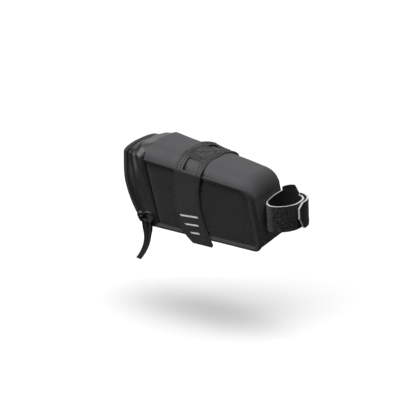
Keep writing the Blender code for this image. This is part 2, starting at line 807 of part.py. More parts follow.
def strap_section(offset, lift):
    """Right fold line to left fold line across the bag, at one distance along it."""
    x = STRAP_X + offset
    top = top_line(x)
    fold = top - FLAP_HINGE_DROP
    half = half_width(x, top)
    rest = strap_gap(RIGHT)
    tilt = STRAP_TILT * -offset
    points = [Vector((-half_width(x, z) - rest, z)) for z in np.linspace(fold, top, 3)[:-1]]
    for share in across(STRAP_STATIONS):
        y = share * half
        z = top + crown_height(x) * shoulder(y, half)
        blend = (share + 1) / 2
        rise = STRAP_RISE_NEAR + (STRAP_RISE_FAR - STRAP_RISE_NEAR) * blend ** 0.8 + tilt
        edge = abs(share) ** 8
        points.append(Vector((y + math.copysign(rest * edge, y), z + rise * (1 - edge))))
    points += [Vector((half_width(x, z) + rest, z)) for z in np.linspace(top, fold, 3)[1:]]
    return [(x, p.x, p.y) for p in outset(points, lift)]


def flap_centre_x(z):
    """The hanging ends sweep forward as they go down."""
    start = top_line(STRAP_X) - STRAP_SWEEP_START
    return STRAP_X + STRAP_SWEEP * min(0.0, z - start) ** 2


def build_saddle_strap():
    half, window = STRAP_WIDTH / 2, WINDOW_WIDTH / 2
    offsets = (-half, -window, 0.0, window, half)

    def grid(lift, offsets):
        columns = [strap_section(offset, lift) for offset in offsets]
        return [list(row) for row in zip(*columns)]

    rows = STRAP_STATIONS + 3
    near = range(WINDOW_FIRST, WINDOW_FIRST + WINDOW_ROWS)
    windows = [(r, c) for n in near for r in (n, rows - 1 - n) for c in (1, 2)]
    slab("saddle_strap", grid(STRAP_THICKNESS, offsets), grid(0, offsets), "strap", hole=windows)
    seat = STRAP_THICKNESS + GAP
    edge = half - 0.002
    first = WINDOW_FIRST + WINDOW_ROWS + 2
    kept = slice(first, rows + 1 - first)
    pad = (-edge, 0.0, edge)
    slab("strap_pad", grid(seat + PATCH, pad)[kept], grid(seat, pad)[kept], "pile")
    for side, word in ((RIGHT, "right"), (LEFT, "left")):
        build_flap(side, word)


def side_strip(side, zs, offsets, depth):
    """Rows of points on a side, out from its surface by depth, following the flap's sweep."""
    rows = []
    for z in zs:
        centre = flap_centre_x(z)
        row = []
        for offset in offsets:
            x = centre + offset
            row.append((x, side * (half_width(x, z) + depth), z))
        rows.append(row)
    return rows


def flap_outline(side, depth):
    """The flap's outline: straight sides, and a tail with a cut rear corner."""
    tail = BOTTOM_Z - PIPING_RADIUS - STRAP_TAIL
    half = STRAP_WIDTH / 2
    folds = [top_line(STRAP_X + x) - FLAP_HINGE_DROP - GAP for x in (half, -half)]
    front = [(half, z) for z in np.linspace(folds[0], tail + 0.003, 12)]
    tip = [(half - 0.0008, tail + 0.0008), (half - 0.003, tail)]
    cut = [(-half + TAIL_CORNER, tail), (-half + TAIL_CORNER * 0.35, tail + TAIL_CORNER * 0.3)]
    rear = [(-half, z) for z in np.linspace(tail + TAIL_CORNER, folds[1], 12)]
    ring = []
    for offset, z in front + tip + cut + rear:
        x = flap_centre_x(z) + offset
        ring.append((x, side * (half_width(x, z) + depth), z))
    return ring


def build_flap(side, word):
    """A hanging end: strap, hook patch behind it, loop patch on the bag."""
    gap = strap_gap(side)
    parts = [prism(f"strap_flap_{word}", flap_outline(side, gap),
                   flap_outline(side, gap + STRAP_THICKNESS), "strap")]
    fold = top_line(STRAP_X) - FLAP_HINGE_DROP
    low = BOTTOM_Z + PIPING_RADIUS + 3 * GAP
    zs = np.linspace(low + 0.004, fold - 0.006, 8)
    offsets = (-STRAP_WIDTH / 2 + 0.003, STRAP_WIDTH / 2 - 0.003)
    first = GAP
    second = first + PATCH + GAP
    slab(f"loop_patch_{word}", side_strip(side, zs, offsets, first + PATCH),
         side_strip(side, zs, offsets, first), "pile")
    parts.append(slab(f"hook_patch_{word}", side_strip(side, zs, offsets, second + PATCH),
                      side_strip(side, zs, offsets, second), "pile"))
    if side == RIGHT:
        parts += build_mark(gap + STRAP_THICKNESS + GAP)
    hinge = bpy.data.objects.new(f"strap_hinge_{word}", None)
    hinge.location = (STRAP_X, side * (half_width(STRAP_X, fold) + gap + STRAP_THICKNESS), fold)
    bpy.context.collection.objects.link(hinge)
    hinge_on(hinge, parts)


def build_mark(depth):
    """Three plain reflective bars on the right flap."""
    made = []
    for i, length in enumerate(BAR_LENGTHS):
        z = BOTTOM_Z + BAR_HEIGHT - i * BAR_PITCH
        centre = flap_centre_x(z)
        rings = []
        for lift in (depth, depth + FABRIC / 4):
            ring = []
            for u, v in ((-0.5, -0.5), (0.5, -0.5), (0.5, 0.5), (-0.5, 0.5)):
                x = centre + u * length + v * BAR_WIDTH
                height = z + v * BAR_WIDTH
                ring.append((x, -(half_width(x, height) + lift), height))
            rings.append(ring)
        made.append(prism(f"reflective_bar_{i + 1}", rings[0], rings[1], "reflective"))
    return made


# ---------------------------------------------------------------- strap round the seatpost

def post_frame():
    """Where the strap leaves the bag's front, with its forward and downward directions."""
    foot = side_arcs()[1][0]
    slope = math.tan(FRONT_LEAN)
    x = foot.x - slope * (POST_STRAP_TOP - foot.y)
    down = Vector((math.sin(POST_STRAP_TILT), 0, -math.cos(POST_STRAP_TILT)))
    forward = Vector((math.cos(POST_STRAP_TILT), 0, math.sin(POST_STRAP_TILT)))
    start = Vector((x + CROWN_FRONT_TOP + GAP, 0, POST_STRAP_TOP))
    return start, forward, down


def loop_curve(reach, half, start_angle, end_angle, count):
    """Part of the loop's round end, in plan: forward and left distances."""
    points = []
    for i in range(count + 1):
        turn = start_angle + (end_angle - start_angle) * i / count
        points.append(Vector((reach * (0.42 + 0.58 * math.cos(turn)), half * math.sin(turn))))
    return points


def wall(name, plan, thickness, top_rise, colour, bottom_cut=None):
    """An upright band along a plan path. thickness is added on the path's left."""
    start, forward, down = post_frame()
    sides = normals(plan)

    def grid(lift):
        rows = []
        for share in (0.0, 1.0):
            row = []
            for i, (p, n) in enumerate(zip(plan, sides)):
                q = p + n * lift
                top = -top_rise[i]
                low = POST_STRAP_WIDTH - (bottom_cut[i] if bottom_cut else 0.0)
                drop = top + (low - top) * share
                row.append(start + forward * q.x + Vector((0, q.y, 0)) + down * drop)
            rows.append(row)
        return rows

    return slab(name, grid(thickness), grid(0.0), colour)


def build_post_strap():
    thick = POST_STRAP_THICKNESS
    lean = math.tan(FRONT_LEAN - POST_STRAP_TILT)
    clear = lean * POST_STRAP_WIDTH + thick + GAP
    half, reach = POST_STRAP_HALF, POST_STRAP_REACH
    back_half = half * 0.62
    corner = Vector((clear + GAP, -back_half))

    pad = []
    start, forward, down = post_frame()
    face = Vector((math.cos(FRONT_LEAN), 0, math.sin(FRONT_LEAN)))
    face_down = Vector((math.sin(FRONT_LEAN), 0, -math.cos(FRONT_LEAN)))
    for lift in (0.0, thick):
        ring = []
        for u, v in ((-1, 0), (1, 0), (1, 1), (-1, 1)):
            ring.append(start + face * lift + Vector((0, u * (back_half - 0.001), 0))
                        + face_down * v * POST_STRAP_WIDTH)
        pad.append(ring)
    prism("seatpost_anchor", pad[0], pad[1], "pile")

    outer = loop_curve(reach, half, math.radians(-100), math.radians(56), 20)
    near = [corner, corner.lerp(outer[0], 0.5)] + outer
    near = near[:2] + [p for p in near[2:] if p.x > corner.x + 0.002 or p.y > 0]
    wall("seatpost_strap_right", near[::-1], thick, [0.0] * len(near), "pile")

    shell = GAP + thick + PATCH + GAP
    tail = loop_curve(reach + shell, half + shell, math.radians(72), math.asin(-TAIL_WRAP / half), 18)
    base_end = tail[0] + Vector((-0.0006, 0.0002))
    base = [Vector((clear, back_half + 0.004)), base_end]
    base = between(base[0], base[1], 5) + [base[1]]
    rise = [TONGUE_RISE] * 5 + [TONGUE_RISE * 0.25]
    wall("seatpost_strap_base", base, thick, rise, "strap")
    count = len(tail)
    cut = [max(0.0, (i - count + 5) / 4) * 0.011 for i in range(count)]
    dip = [-max(0.0, (i - count + 4) / 3) * 0.004 for i in range(count)]
    moving = [wall("seatpost_strap_tail", tail, thick, dip, "strap", cut)]
    hook = loop_curve(reach + GAP + thick, half + GAP + thick, math.radians(60),
                      math.asin(-TAIL_WRAP * 0.5 / half), 12)
    moving.append(wall("tail_hook_patch", hook, PATCH, [-0.002] * 13, "pile", [0.002] * 13))
    fold = outset(tail, thick)[0]
    empty = bpy.data.objects.new("tail_hinge", None)
    empty.location = start + forward * fold.x + Vector((0, fold.y, 0))
    bpy.context.collection.objects.link(empty)
    hinge_on(empty, moving)


def main():
    for item in list(bpy.data.objects):
        bpy.data.objects.remove(item, do_unlink=True)
    build_body()
    build_zip_and_lid()
    build_hoop_and_pull(*build_slider())
    build_saddle_strap()
    build_post_strap()


main()
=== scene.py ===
"""Looks of the wedge saddle bag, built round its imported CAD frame. Metres, +X forward, +Y left, +Z up."""

import math

import bpy
import numpy as np
from mathutils import Matrix, Vector, noise


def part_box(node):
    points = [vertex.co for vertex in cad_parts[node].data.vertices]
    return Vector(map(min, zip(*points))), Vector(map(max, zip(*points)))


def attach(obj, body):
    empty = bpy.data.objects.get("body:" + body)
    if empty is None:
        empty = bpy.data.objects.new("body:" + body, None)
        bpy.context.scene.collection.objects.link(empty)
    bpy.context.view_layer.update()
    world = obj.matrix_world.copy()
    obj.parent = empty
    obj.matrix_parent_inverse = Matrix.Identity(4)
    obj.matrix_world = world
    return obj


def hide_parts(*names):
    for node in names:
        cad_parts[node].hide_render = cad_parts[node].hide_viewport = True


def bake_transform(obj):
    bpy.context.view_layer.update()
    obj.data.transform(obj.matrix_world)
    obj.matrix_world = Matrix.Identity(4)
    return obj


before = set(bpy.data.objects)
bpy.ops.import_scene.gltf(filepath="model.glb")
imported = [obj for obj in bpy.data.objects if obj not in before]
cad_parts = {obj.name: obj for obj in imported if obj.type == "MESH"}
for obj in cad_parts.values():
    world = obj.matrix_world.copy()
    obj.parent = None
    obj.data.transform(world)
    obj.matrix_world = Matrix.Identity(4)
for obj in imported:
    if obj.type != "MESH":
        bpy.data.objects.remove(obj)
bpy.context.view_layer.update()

# ---------------------------------------------------------------- dimensions, as in the CAD

SEAM_X = -0.048
PIPING_DROP = 0.0086
BODY_LENGTH = 0.108
BODY_HEIGHT = 0.0612
TOP_SLOPE = math.radians(4.6)
FRONT_LEAN = math.radians(20.3)
SEAM_LEAN = math.radians(21.8)
NOSE_RADIUS = 0.0135
FRONT_CORNER_RADIUS = 0.004
REAR_CORNER_RADIUS = 0.006
HALF_WIDTH = 0.036
TAPER = 0.057
SPREAD = 0.0415
SHOULDER_WIDTH = 0.0165
DOME_SHARE = 0.1
CROWN_RIM, CROWN_SEAM, CROWN_NOSE = 0.0052, 0.012, 0.0083
CROWN_FRONT_TOP, CROWN_FRONT_BOTTOM = 0.0034, 0.0003
BAND_WIDTH = 0.019
RIM_DROP = 0.0029
RIM_LEAN = math.radians(10.7)
RIM_RADIUS = 0.120
ZIP_SLOT = 0.0016
LID_EDGE = 0.0022
LID_DOME = 0.0055
PIPING_RADIUS = 0.0017
STRAP_WIDTH = 0.0268
STRAP_THICKNESS = 0.0017
STRAP_X = -0.001
STRAP_TAIL = 0.0052
STRAP_GAP = 0.0023
STRAP_SWEEP = 6.8         # forward curve of the hanging ends, per metre
FOLD_DROP = 0.0035        # the ends' fold line, below the piping line
STITCH_INSET = 0.0024     # from the strap's edge
TOP_Z = -PIPING_DROP
BOTTOM_Z = TOP_Z - BODY_HEIGHT
POST_STRAP_TILT = math.radians(10)
POST_STRAP_WIDTH = 0.0245
POST_STRAP_TOP = -0.0300
FLOOR_Z = -0.163
RIGHT, LEFT = -1, 1


def top_line(x):
    return TOP_Z - math.tan(TOP_SLOPE) * (x - SEAM_X)


def half_width(x, z):
    return HALF_WIDTH - TAPER * x - SPREAD * (z - TOP_Z)


def side_corners(inset=0.0):
    nose_x = SEAM_X + BODY_LENGTH
    nose_z = top_line(nose_x)
    foot_x = nose_x + math.tan(FRONT_LEAN) * (nose_z - BOTTOM_Z)
    heel_x = SEAM_X + math.tan(SEAM_LEAN) * BODY_HEIGHT
    corners = [Vector(c) for c in ((SEAM_X, TOP_Z), (nose_x, nose_z), (foot_x, BOTTOM_Z),
                                   (heel_x, BOTTOM_Z))]
    made = []
    for i, corner in enumerate(corners):
        before = (corner - corners[i - 1]).normalized()
        after = (corners[(i + 1) % 4] - corner).normalized()
        inward = Vector((before.y, -before.x)) + Vector((after.y, -after.x))
        made.append(corner + inward * inset / (1 + before.dot(after)))
    return made


def rounded(corner, before, after, radius, steps):
    back = (before - corner).normalized()
    on = (after - corner).normalized()
    half = back.angle(on) / 2
    centre = corner + (back + on).normalized() * radius / math.sin(half)
    first = corner + back * radius / math.tan(half) - centre
    last = corner + on * radius / math.tan(half) - centre
    turn = first.angle_signed(last)
    return [centre + Matrix.Rotation(-turn * i / steps, 2) @ first for i in range(steps + 1)]


def side_arcs(inset=0.0, steps=16):
    seam, nose, foot, heel = side_corners(inset)
    front = max(FRONT_CORNER_RADIUS - inset, 0.001)
    return (rounded(nose, seam, foot, NOSE_RADIUS - inset, steps),
            rounded(foot, nose, heel, front, steps // 2),
            rounded(heel, foot, seam, REAR_CORNER_RADIUS - inset, steps))


def between(a, b, count):
    return [Vector(a).lerp(Vector(b), i / count) for i in range(count)]


def rim_centre():
    lean = Vector((math.cos(RIM_LEAN), math.sin(RIM_LEAN)))
    return Vector((SEAM_X - BAND_WIDTH, TOP_Z - RIM_DROP)) + lean * RIM_RADIUS


RIM_CENTRE = rim_centre()


def rim_x(z):
    return RIM_CENTRE.x - math.sqrt(RIM_RADIUS ** 2 - (z - RIM_CENTRE.y) ** 2)


LID_FOLD_X = rim_x(BOTTOM_Z) - ZIP_SLOT / 2 - LID_EDGE


def smooth(t):
    t = min(1.0, max(0.0, t))
    return t * t * (3 - 2 * t)


def rear_reach(x):
    """The crown's shoulders widen from the seam to the rim."""
    return SHOULDER_WIDTH + 0.012 * smooth((SEAM_X - x) / BAND_WIDTH)


def shoulder(y, half, reach=SHOULDER_WIDTH):
    over = min(1.0, max(0.0, abs(y) - (half - reach)) / reach)
    return (1 - DOME_SHARE) * math.sqrt(max(0.0, 1 - over * over)) + DOME_SHARE * (1 - (y / half) ** 2)


def crown_height(x):
    stations = (SEAM_X - BAND_WIDTH, SEAM_X, SEAM_X + BODY_LENGTH - NOSE_RADIUS)
    return float(np.interp(x, stations, (CROWN_RIM, CROWN_SEAM, CROWN_NOSE)))


def across(count):
    return [math.sin(math.pi * (i / (count - 1) - 0.5)) for i in range(count)]


def wobble(point, size, seed=0.0):
    """Smooth noise from -1 to 1 at a point, with features of that size in metres."""
    return noise.noise(Vector(point) / size + Vector((seed, seed * 1.7, -seed)))


# ---------------------------------------------------------------- mesh tools

def grid_normals(points):
    """Unit normals of a grid of points, rows by columns."""
    found = np.cross(np.gradient(points, axis=1), np.gradient(points, axis=0))
    length = np.linalg.norm(found, axis=2, keepdims=True)
    return found / np.maximum(length, 1e-12)


def lengths(points, axis):
    """Distance along a grid's rows or columns, from its first point."""
    step = np.linalg.norm(np.diff(points, axis=axis), axis=2)
    first = np.zeros((1, step.shape[1]) if axis == 0 else (step.shape[0], 1))
    return np.concatenate([first, np.cumsum(step, axis)], axis)


def facing(points, axis, sign):
    """The grid, with its rows turned round where its middle faces away from that side of the axis."""
    rows, cols = points.shape[:2]
    return points if grid_normals(points)[rows // 2, cols // 2, axis] * sign > 0 else points[::-1]


def grid(downs, alongs, place):
    """Points of a sheet: place(down, along) for each pair."""
    return np.array([[place(a, b) for b in alongs] for a in downs])


def ring_quads(rings, count):
    """Corners of the quads between rings of that many points each."""
    return [(r * count + i, r * count + (i + 1) % count,
             (r + 1) * count + (i + 1) % count, (r + 1) * count + i)
            for r in range(rings - 1) for i in range(count)]


def merged(parts):
    verts, faces, uvs = [], [], []
    for v, f, uv in parts:
        base = len(verts)
        verts += [tuple(p) for p in v]
        uvs += list(uv)
        faces += [tuple(i + base for i in face) for face in f]
    return verts, faces, uvs


def finish_mesh(name, verts, faces, uvs, face_materials, materials, body, replaced=(), slot=None,
                sharp=40):
    mesh = bpy.data.meshes.new(name)
    mesh.from_pydata([tuple(v) for v in verts], [], faces)
    layer = mesh.uv_layers.new(name="UVMap")
    loop_vertex = np.zeros(len(mesh.loops), dtype=np.int64)
    mesh.loops.foreach_get("vertex_index", loop_vertex)
    layer.data.foreach_set("uv", np.asarray(uvs, float)[loop_vertex].ravel())
    for material in materials:
        mesh.materials.append(material)
    if face_materials is not None:
        mesh.polygons.foreach_set("material_index", face_materials)
    mesh.shade_smooth()
    mesh.set_sharp_from_angle(angle=math.radians(sharp))
    made = bpy.data.objects.new(name, mesh)
    bpy.context.scene.collection.objects.link(made)
    if body:
        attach(made, body)
    if replaced:
        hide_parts(*replaced)
    return made


def shell(name, outer, thickness, materials, body, replaced=(), slot=None, hole=None, normals=None):
    """A fabric layer under a grid of outer points. Materials: face, back, cut edge."""
    outer = np.asarray(outer, float)
    rows, cols = outer.shape[:2]
    normals = grid_normals(outer) if normals is None else normals
    inner = outer - normals * thickness
    u, v = lengths(outer, 1), lengths(outer, 0)
    uv = np.stack([u - u[:, cols // 2:cols // 2 + 1], v], 2).reshape(-1, 2)
    verts = np.concatenate([outer.reshape(-1, 3), inner.reshape(-1, 3)])
    uvs = np.concatenate([uv, uv])
    count = rows * cols
    faces, kinds, edges = [], [], {}
    for r in range(rows - 1):
        for c in range(cols - 1):
            if hole is not None and hole(r, c):
                continue
            ring = (r * cols + c, r * cols + c + 1, (r + 1) * cols + c + 1, (r + 1) * cols + c)
            faces.append(ring)
            kinds.append(0)
            faces.append(tuple(i + count for i in reversed(ring)))
            kinds.append(1)
            for a, b in zip(ring, ring[1:] + ring[:1]):
                if (b, a) in edges:
                    del edges[b, a]
                else:
                    edges[a, b] = True
    for a, b in edges:
        faces.append((b, a, a + count, b + count))
        kinds.append(2)
    face, back, cut = (list(materials) + [materials[-1]] * 3)[:3]
    return finish_mesh(name, verts, faces, uvs, kinds, [face, back, cut], body, replaced, slot)


def ring_tube(points, radius, sides=12, closed=False):
    """Vertices, faces and uvs of a round bar. radius is one number or one for each point."""
    points = np.asarray(points, float)
    count = len(points)
    radius = np.broadcast_to(np.asarray(radius, float), (count,))
    ahead = np.roll(points, -1, 0)
    behind = np.roll(points, 1, 0)
    if not closed:
        ahead[-1] = points[-1]
        behind[0] = points[0]
    along = ahead - behind
    along /= np.linalg.norm(along, axis=1, keepdims=True)
    spin = np.array(Vector(along[0]).orthogonal().normalized())
    verts, uvs = [], []
    distance = 0.0
    for i in range(count):
        spin = spin - along[i] * spin.dot(along[i])
        spin /= np.linalg.norm(spin)
        other = np.cross(along[i], spin)
        distance += np.linalg.norm(points[i] - points[i - 1]) if i else 0.0
        for k in range(sides):
            turn = 2 * math.pi * k / sides
            verts.append(points[i] + (spin * math.cos(turn) + other * math.sin(turn)) * radius[i])
            uvs.append((k / sides * 2 * math.pi * radius[i], distance))
    faces = []
    for i in range(count if closed else count - 1):
        j = (i + 1) % count
        shift = 0
        if closed and i == count - 1:
            gaps = [np.linalg.norm(verts[i * sides] - verts[k]) for k in range(sides)]
            shift = int(np.argmin(gaps))
        for k in range(sides):
            m = (k + 1) % sides
            faces.append((i * sides + k, i * sides + m, j * sides + (m + shift) % sides,
                          j * sides + (k + shift) % sides))
    if not closed:
        faces.append(tuple(reversed(range(sides))))
        faces.append(tuple(range((count - 1) * sides, count * sides)))
    return verts, faces, uvs


def tube_piece(name, points, radius, material, body, sides=12, closed=False, replaced=(), slot=None):
    verts, faces, uvs = ring_tube(points, radius, sides, closed)
    return finish_mesh(name, verts, faces, uvs, None, [material], body, replaced, slot, 70)


def resample(points, step=None, count=None):
    """Points at even distances along a line of points."""
    points = np.asarray(points, float)
    gaps = np.linalg.norm(np.diff(points, axis=0), axis=1)
    at = np.concatenate([[0.0], np.cumsum(gaps)])
    count = count or max(2, int(round(at[-1] / step)) + 1)
    wanted = np.linspace(0, at[-1], count)
    return np.stack([np.interp(wanted, at, points[:, k]) for k in range(points.shape[1])], 1)


def curve_through(points, count):
    """A smooth curve through control points."""
    points = [np.asarray(p, float) for p in points]
    padded = [2 * points[0] - points[1]] + points + [2 * points[-1] - points[-2]]
    made = []
    for i in range(1, len(padded) - 2):
        a, b, c, d = padded[i - 1:i + 3]
        for k in range(16):
            t = k / 16
            made.append(0.5 * (2 * b + (c - a) * t + (2 * a - 5 * b + 4 * c - d) * t ** 2
                               + (3 * b - a - 3 * c + d) * t ** 3))
    made.append(points[-1])
    return resample(made, count=count)


def stitches(name, lines, material, body, length, gap, radius, lift=0.0):
    """Runs of thread stitches. Each line is points and the normals to lift along."""
    parts = []
    thick = [radius * t for t in (0.55, 0.95, 1.0, 0.95, 0.55)]
    for points, up in lines:
        points, up = np.asarray(points, float), np.asarray(up, float)
        gaps = np.linalg.norm(np.diff(points, axis=0), axis=1)
        at = np.concatenate([[0.0], np.cumsum(gaps)])
        start = gap / 2
        while start + length < at[-1]:
            run = []
            for k, height in enumerate((-0.6, 0.55, 0.8, 0.55, -0.6)):
                point, normal = (np.array([np.interp(start + length * k / 4, at, values[:, axis])
                                           for axis in range(3)]) for values in (points, up))
                run.append(point + normal * (radius * height + lift))
            parts.append(ring_tube(run, thick, 6))
            start += length + gap
    finish_mesh(name, *merged(parts), None, [material], body, sharp=80)


# ---------------------------------------------------------------- materials

class Nodes:
    """A short way to wire a material."""

    def __init__(self, name):
        self.material = bpy.data.materials.new(name)
        self.material.use_nodes = True
        self.tree = self.material.node_tree
        self.shader = self.tree.nodes["Principled BSDF"]
        self.uv = self.add("ShaderNodeUVMap", uv_map="UVMap").outputs[0]

    def add(self, kind, inputs=(), **settings):
        node = self.tree.nodes.new(kind)
        for key, value in settings.items():
            setattr(node, key, value)
        for key, value in dict(inputs).items():
            self.put(node.inputs[key], value)
        return node

    def put(self, socket, value):
        if isinstance(value, bpy.types.NodeSocket):
            self.tree.links.new(value, socket)
        else:
            socket.default_value = value

    def math(self, operation, a, b=0.0, c=0.0):
        node = self.add("ShaderNodeMath", operation=operation)
        for socket, value in zip(node.inputs, (a, b, c)):
            self.put(socket, value)
        return node.outputs[0]

    def times(self, *factors):
        total = factors[0]
        for factor in factors[1:]:
            total = self.math("MULTIPLY", total, factor)
        return total

    def ridge(self, value):
        """Height of a row of rounded ridges, one for each whole number."""
        return self.math("ABSOLUTE", self.math("SINE", self.times(value, math.pi)))

    def split(self, vector):
        return self.add("ShaderNodeSeparateXYZ", {"Vector": vector}).outputs

    def scaled(self, scale, angle=0.0):
        return self.add("ShaderNodeMapping", {"Vector": self.uv, "Scale": scale,
                                              "Rotation": (0, 0, angle)}).outputs[0]

    def place(self):
        return self.add("ShaderNodeTexCoord").outputs["Object"]

    def noise(self, scale, detail=2.0, roughness=0.5):
        return self.add("ShaderNodeTexNoise", {"Scale": scale, "Detail": detail, "Roughness": roughness,
                                               "Vector": self.place()}).outputs["Fac"]

    def cells(self, scale):
        return self.add("ShaderNodeTexVoronoi", {"Scale": scale, "Vector": self.place()}).outputs["Distance"]

    def spread(self, value, low, high):
        """A noise's middle range, stretched between two values."""
        return self.remap(value, 0.3, 0.7, low, high)

    def shaded(self, colour, factor):
        return self.add("ShaderNodeVectorMath", {0: colour, "Scale": factor}, operation="SCALE").outputs[0]

    def ramp(self, value, stops):
        node = self.add("ShaderNodeValToRGB", {"Fac": value})
        ramp = node.color_ramp
        while len(ramp.elements) < len(stops):
            ramp.elements.new(0.5)
        for element, (place, colour) in zip(ramp.elements, stops):
            element.position = place
            element.color = (*colour, 1)
        return node.outputs[0]

    def remap(self, value, low, high, to_low, to_high):
        node = self.add("ShaderNodeMapRange")
        for key, number in zip((0, 1, 2, 3, 4), (value, low, high, to_low, to_high)):
            self.put(node.inputs[key], number)
        return node.outputs[0]

    def bump(self, height, strength, distance, below=None):
        node = self.add("ShaderNodeBump", {"Strength": strength, "Distance": distance, "Height": height})
        if below is not None:
            self.put(node.inputs["Normal"], below)
        return node.outputs[0]

    def done(self, **values):
        for key, value in values.items():
            self.put(self.shader.inputs[key.replace("_", " ")], value)
        return self.material


def threads(n, pitch):
    """Height of a plain weave: threads that pass over and under each other."""
    u, v, _ = n.split(n.scaled((1 / pitch, 1 / pitch, 1)))
    warp, weft = (n.math("SINE", n.times(t, math.pi)) for t in (u, v))
    check = n.math("GREATER_THAN", n.times(warp, weft), 0.0)
    return n.times(n.math("ABSOLUTE", warp), n.math("ABSOLUTE", weft),
                   n.math("MULTIPLY_ADD", check, 0.5, 0.5))


WEAVE_TONE = (0.75, 1.25)
# Painted shade: between these heights the top and front cloth turns darker towards the bottom, so the front
# face reads as in shadow.
PAINTED_SHADE_HEIGHTS = (-0.046, -0.010)  # the top cloth darkens from the upper height to the lower one


def weave_material(name, colour, pitch, roughness=0.62, sheen=0.0, tint=(1, 1, 1), shade_by_height=False):
    n = Nodes(name)
    gloss = 0.25
    over = threads(n, pitch)
    cloud = n.noise(38.0, 4.0)
    grain = n.noise(2600.0, 2.0)
    factor = n.times(n.remap(over, 0, 1, *WEAVE_TONE), n.spread(cloud, 0.88, 1.12), n.spread(grain, 0.9, 1.1))
    # Painted shade: colour, sheen and gloss fall to 0.12 of full towards the bottom, with a little noise in
    # the height.
    if shade_by_height:
        height = n.math("MULTIPLY_ADD", n.noise(60.0, 3.0), 0.012, n.split(n.place())[2])
        wear_and_painted_shade = n.remap(height, *PAINTED_SHADE_HEIGHTS, 0.12, 1.0)
        factor = n.times(factor, wear_and_painted_shade)
        sheen = n.times(wear_and_painted_shade, wear_and_painted_shade, sheen)
        gloss = n.times(wear_and_painted_shade, gloss)
    normal = n.bump(grain, 0.15, 0.0001, n.bump(over, 0.35, pitch * 0.35))
    return n.done(Base_Color=n.shaded(colour, factor), Normal=normal, Sheen_Weight=sheen,
                  Roughness=n.spread(cloud, roughness - 0.05, roughness + 0.05),
                  Sheen_Roughness=0.35, Sheen_Tint=(*tint, 1), Specular_IOR_Level=gloss)


def twill_material(name, colour, pitch):
    """Diagonal ribs, each made of short floats. The colour is darkest in the grooves between the ribs:
    painted shade.
    """
    n = Nodes(name)
    u, v, _ = n.split(n.scaled((1 / pitch, 1 / pitch, 1), math.radians(-45)))
    floats = n.ridge(n.math("ADD", n.times(v, 1.9), n.times(n.math("FLOOR", u), 0.5)))
    height = n.times(n.ridge(u), n.math("MULTIPLY_ADD", floats, 0.45, 0.55))
    cloud = n.noise(45.0, 4.0)
    grain = n.noise(2200.0, 2.0)
    factor = n.times(n.remap(height, 0.15, 0.95, 0.0, 2.7), n.spread(cloud, 0.9, 1.1),
                     n.spread(grain, 0.9, 1.1))
    normal = n.bump(grain, 0.15, 0.0001, n.bump(height, 1.0, pitch * 0.5))
    return n.done(Base_Color=n.shaded(colour, factor), Normal=normal,
                  Roughness=n.remap(height, 0, 1, 0.8, 0.55), Sheen_Weight=0.08, Sheen_Roughness=0.4,
                  Specular_IOR_Level=0.3)


def coated_material(name, colour, roughness, grain_size=900.0, bump=0.12, coat=0.0, sheen=0.0):
    """Smooth coated fabric: fine leathery grain, soft creases, scuffs."""
    n = Nodes(name)
    cloud = n.noise(30.0, 5.0)
    grain = n.noise(grain_size, 3.0)
    factor = n.times(n.spread(cloud, 0.85, 1.18), n.spread(grain, 0.93, 1.07))
    normal = n.bump(n.cells(grain_size * 0.9), bump, 0.00015, n.bump(grain, bump, 0.0003))
    rough = n.spread(cloud, roughness - 0.06, roughness + 0.07)
    return n.done(Base_Color=n.shaded(colour, factor), Roughness=rough, Coat_Weight=coat,
                  Normal=n.bump(cloud, 0.1, 0.002, normal),
                  Coat_Roughness=0.40, Sheen_Weight=sheen, Sheen_Roughness=0.4, Specular_IOR_Level=0.4)


def pile_material(name, colour, size):
    """Hook and loop: a felt of tiny loops."""
    n = Nodes(name)
    tuft = n.cells(size * 0.55)
    fibre = n.noise(size, 4.0, roughness=0.7)
    clump = n.noise(260.0, 3.0)
    height = n.math("ADD", n.times(tuft, 0.7), fibre)
    coarse = n.noise(650.0, 2.0)
    shade = n.times(n.remap(height, 0.4, 1.2, 0.2, 2.3), n.spread(clump, 0.6, 1.5),
                    n.remap(coarse, 0.42, 0.6, 0.25, 2.2))
    return n.done(Base_Color=n.shaded(colour, shade), Roughness=0.95, Sheen_Weight=0.25,
                  Normal=n.bump(height, 0.9, 0.0008),
                  Sheen_Roughness=0.5, Specular_IOR_Level=0.15)


def thread_material(name, colour):
    n = Nodes(name)
    wave = n.add("ShaderNodeTexWave", {"Scale": 1500.0, "Distortion": 0.4, "Vector": n.uv},
                 bands_direction="DIAGONAL").outputs["Fac"]
    return n.done(Base_Color=n.shaded(colour, n.remap(wave, 0, 1, 0.6, 1.3)), Roughness=0.55,
                  Normal=n.bump(wave, 0.5, 0.0001), Sheen_Weight=0.1)


def metal_material(name, colour, roughness):
    n = Nodes(name)
    wear = n.noise(400.0, 4.0)
    base = n.ramp(wear, ((0.35, colour), (0.72, tuple(c * 1.6 for c in colour))))
    return n.done(Base_Color=base, Metallic=1.0, Normal=n.bump(wear, 0.08, 0.0002),
                  Roughness=n.spread(wear, roughness - 0.08, roughness + 0.1))


def foil_material(name, colour):
    """Reflective print: fine glass-bead grain and slightly worn edges."""
    n = Nodes(name)
    beads = n.noise(3500.0, 2.0)
    wear_and_painted_shade = n.noise(300.0, 5.0)
    factor = n.times(n.spread(beads, 0.85, 1.1), n.remap(wear_and_painted_shade, 0.25, 0.45, 0.75, 1.0))
    return n.done(Base_Color=n.shaded(colour, factor), Roughness=0.42, Normal=n.bump(beads, 0.2, 0.0001))


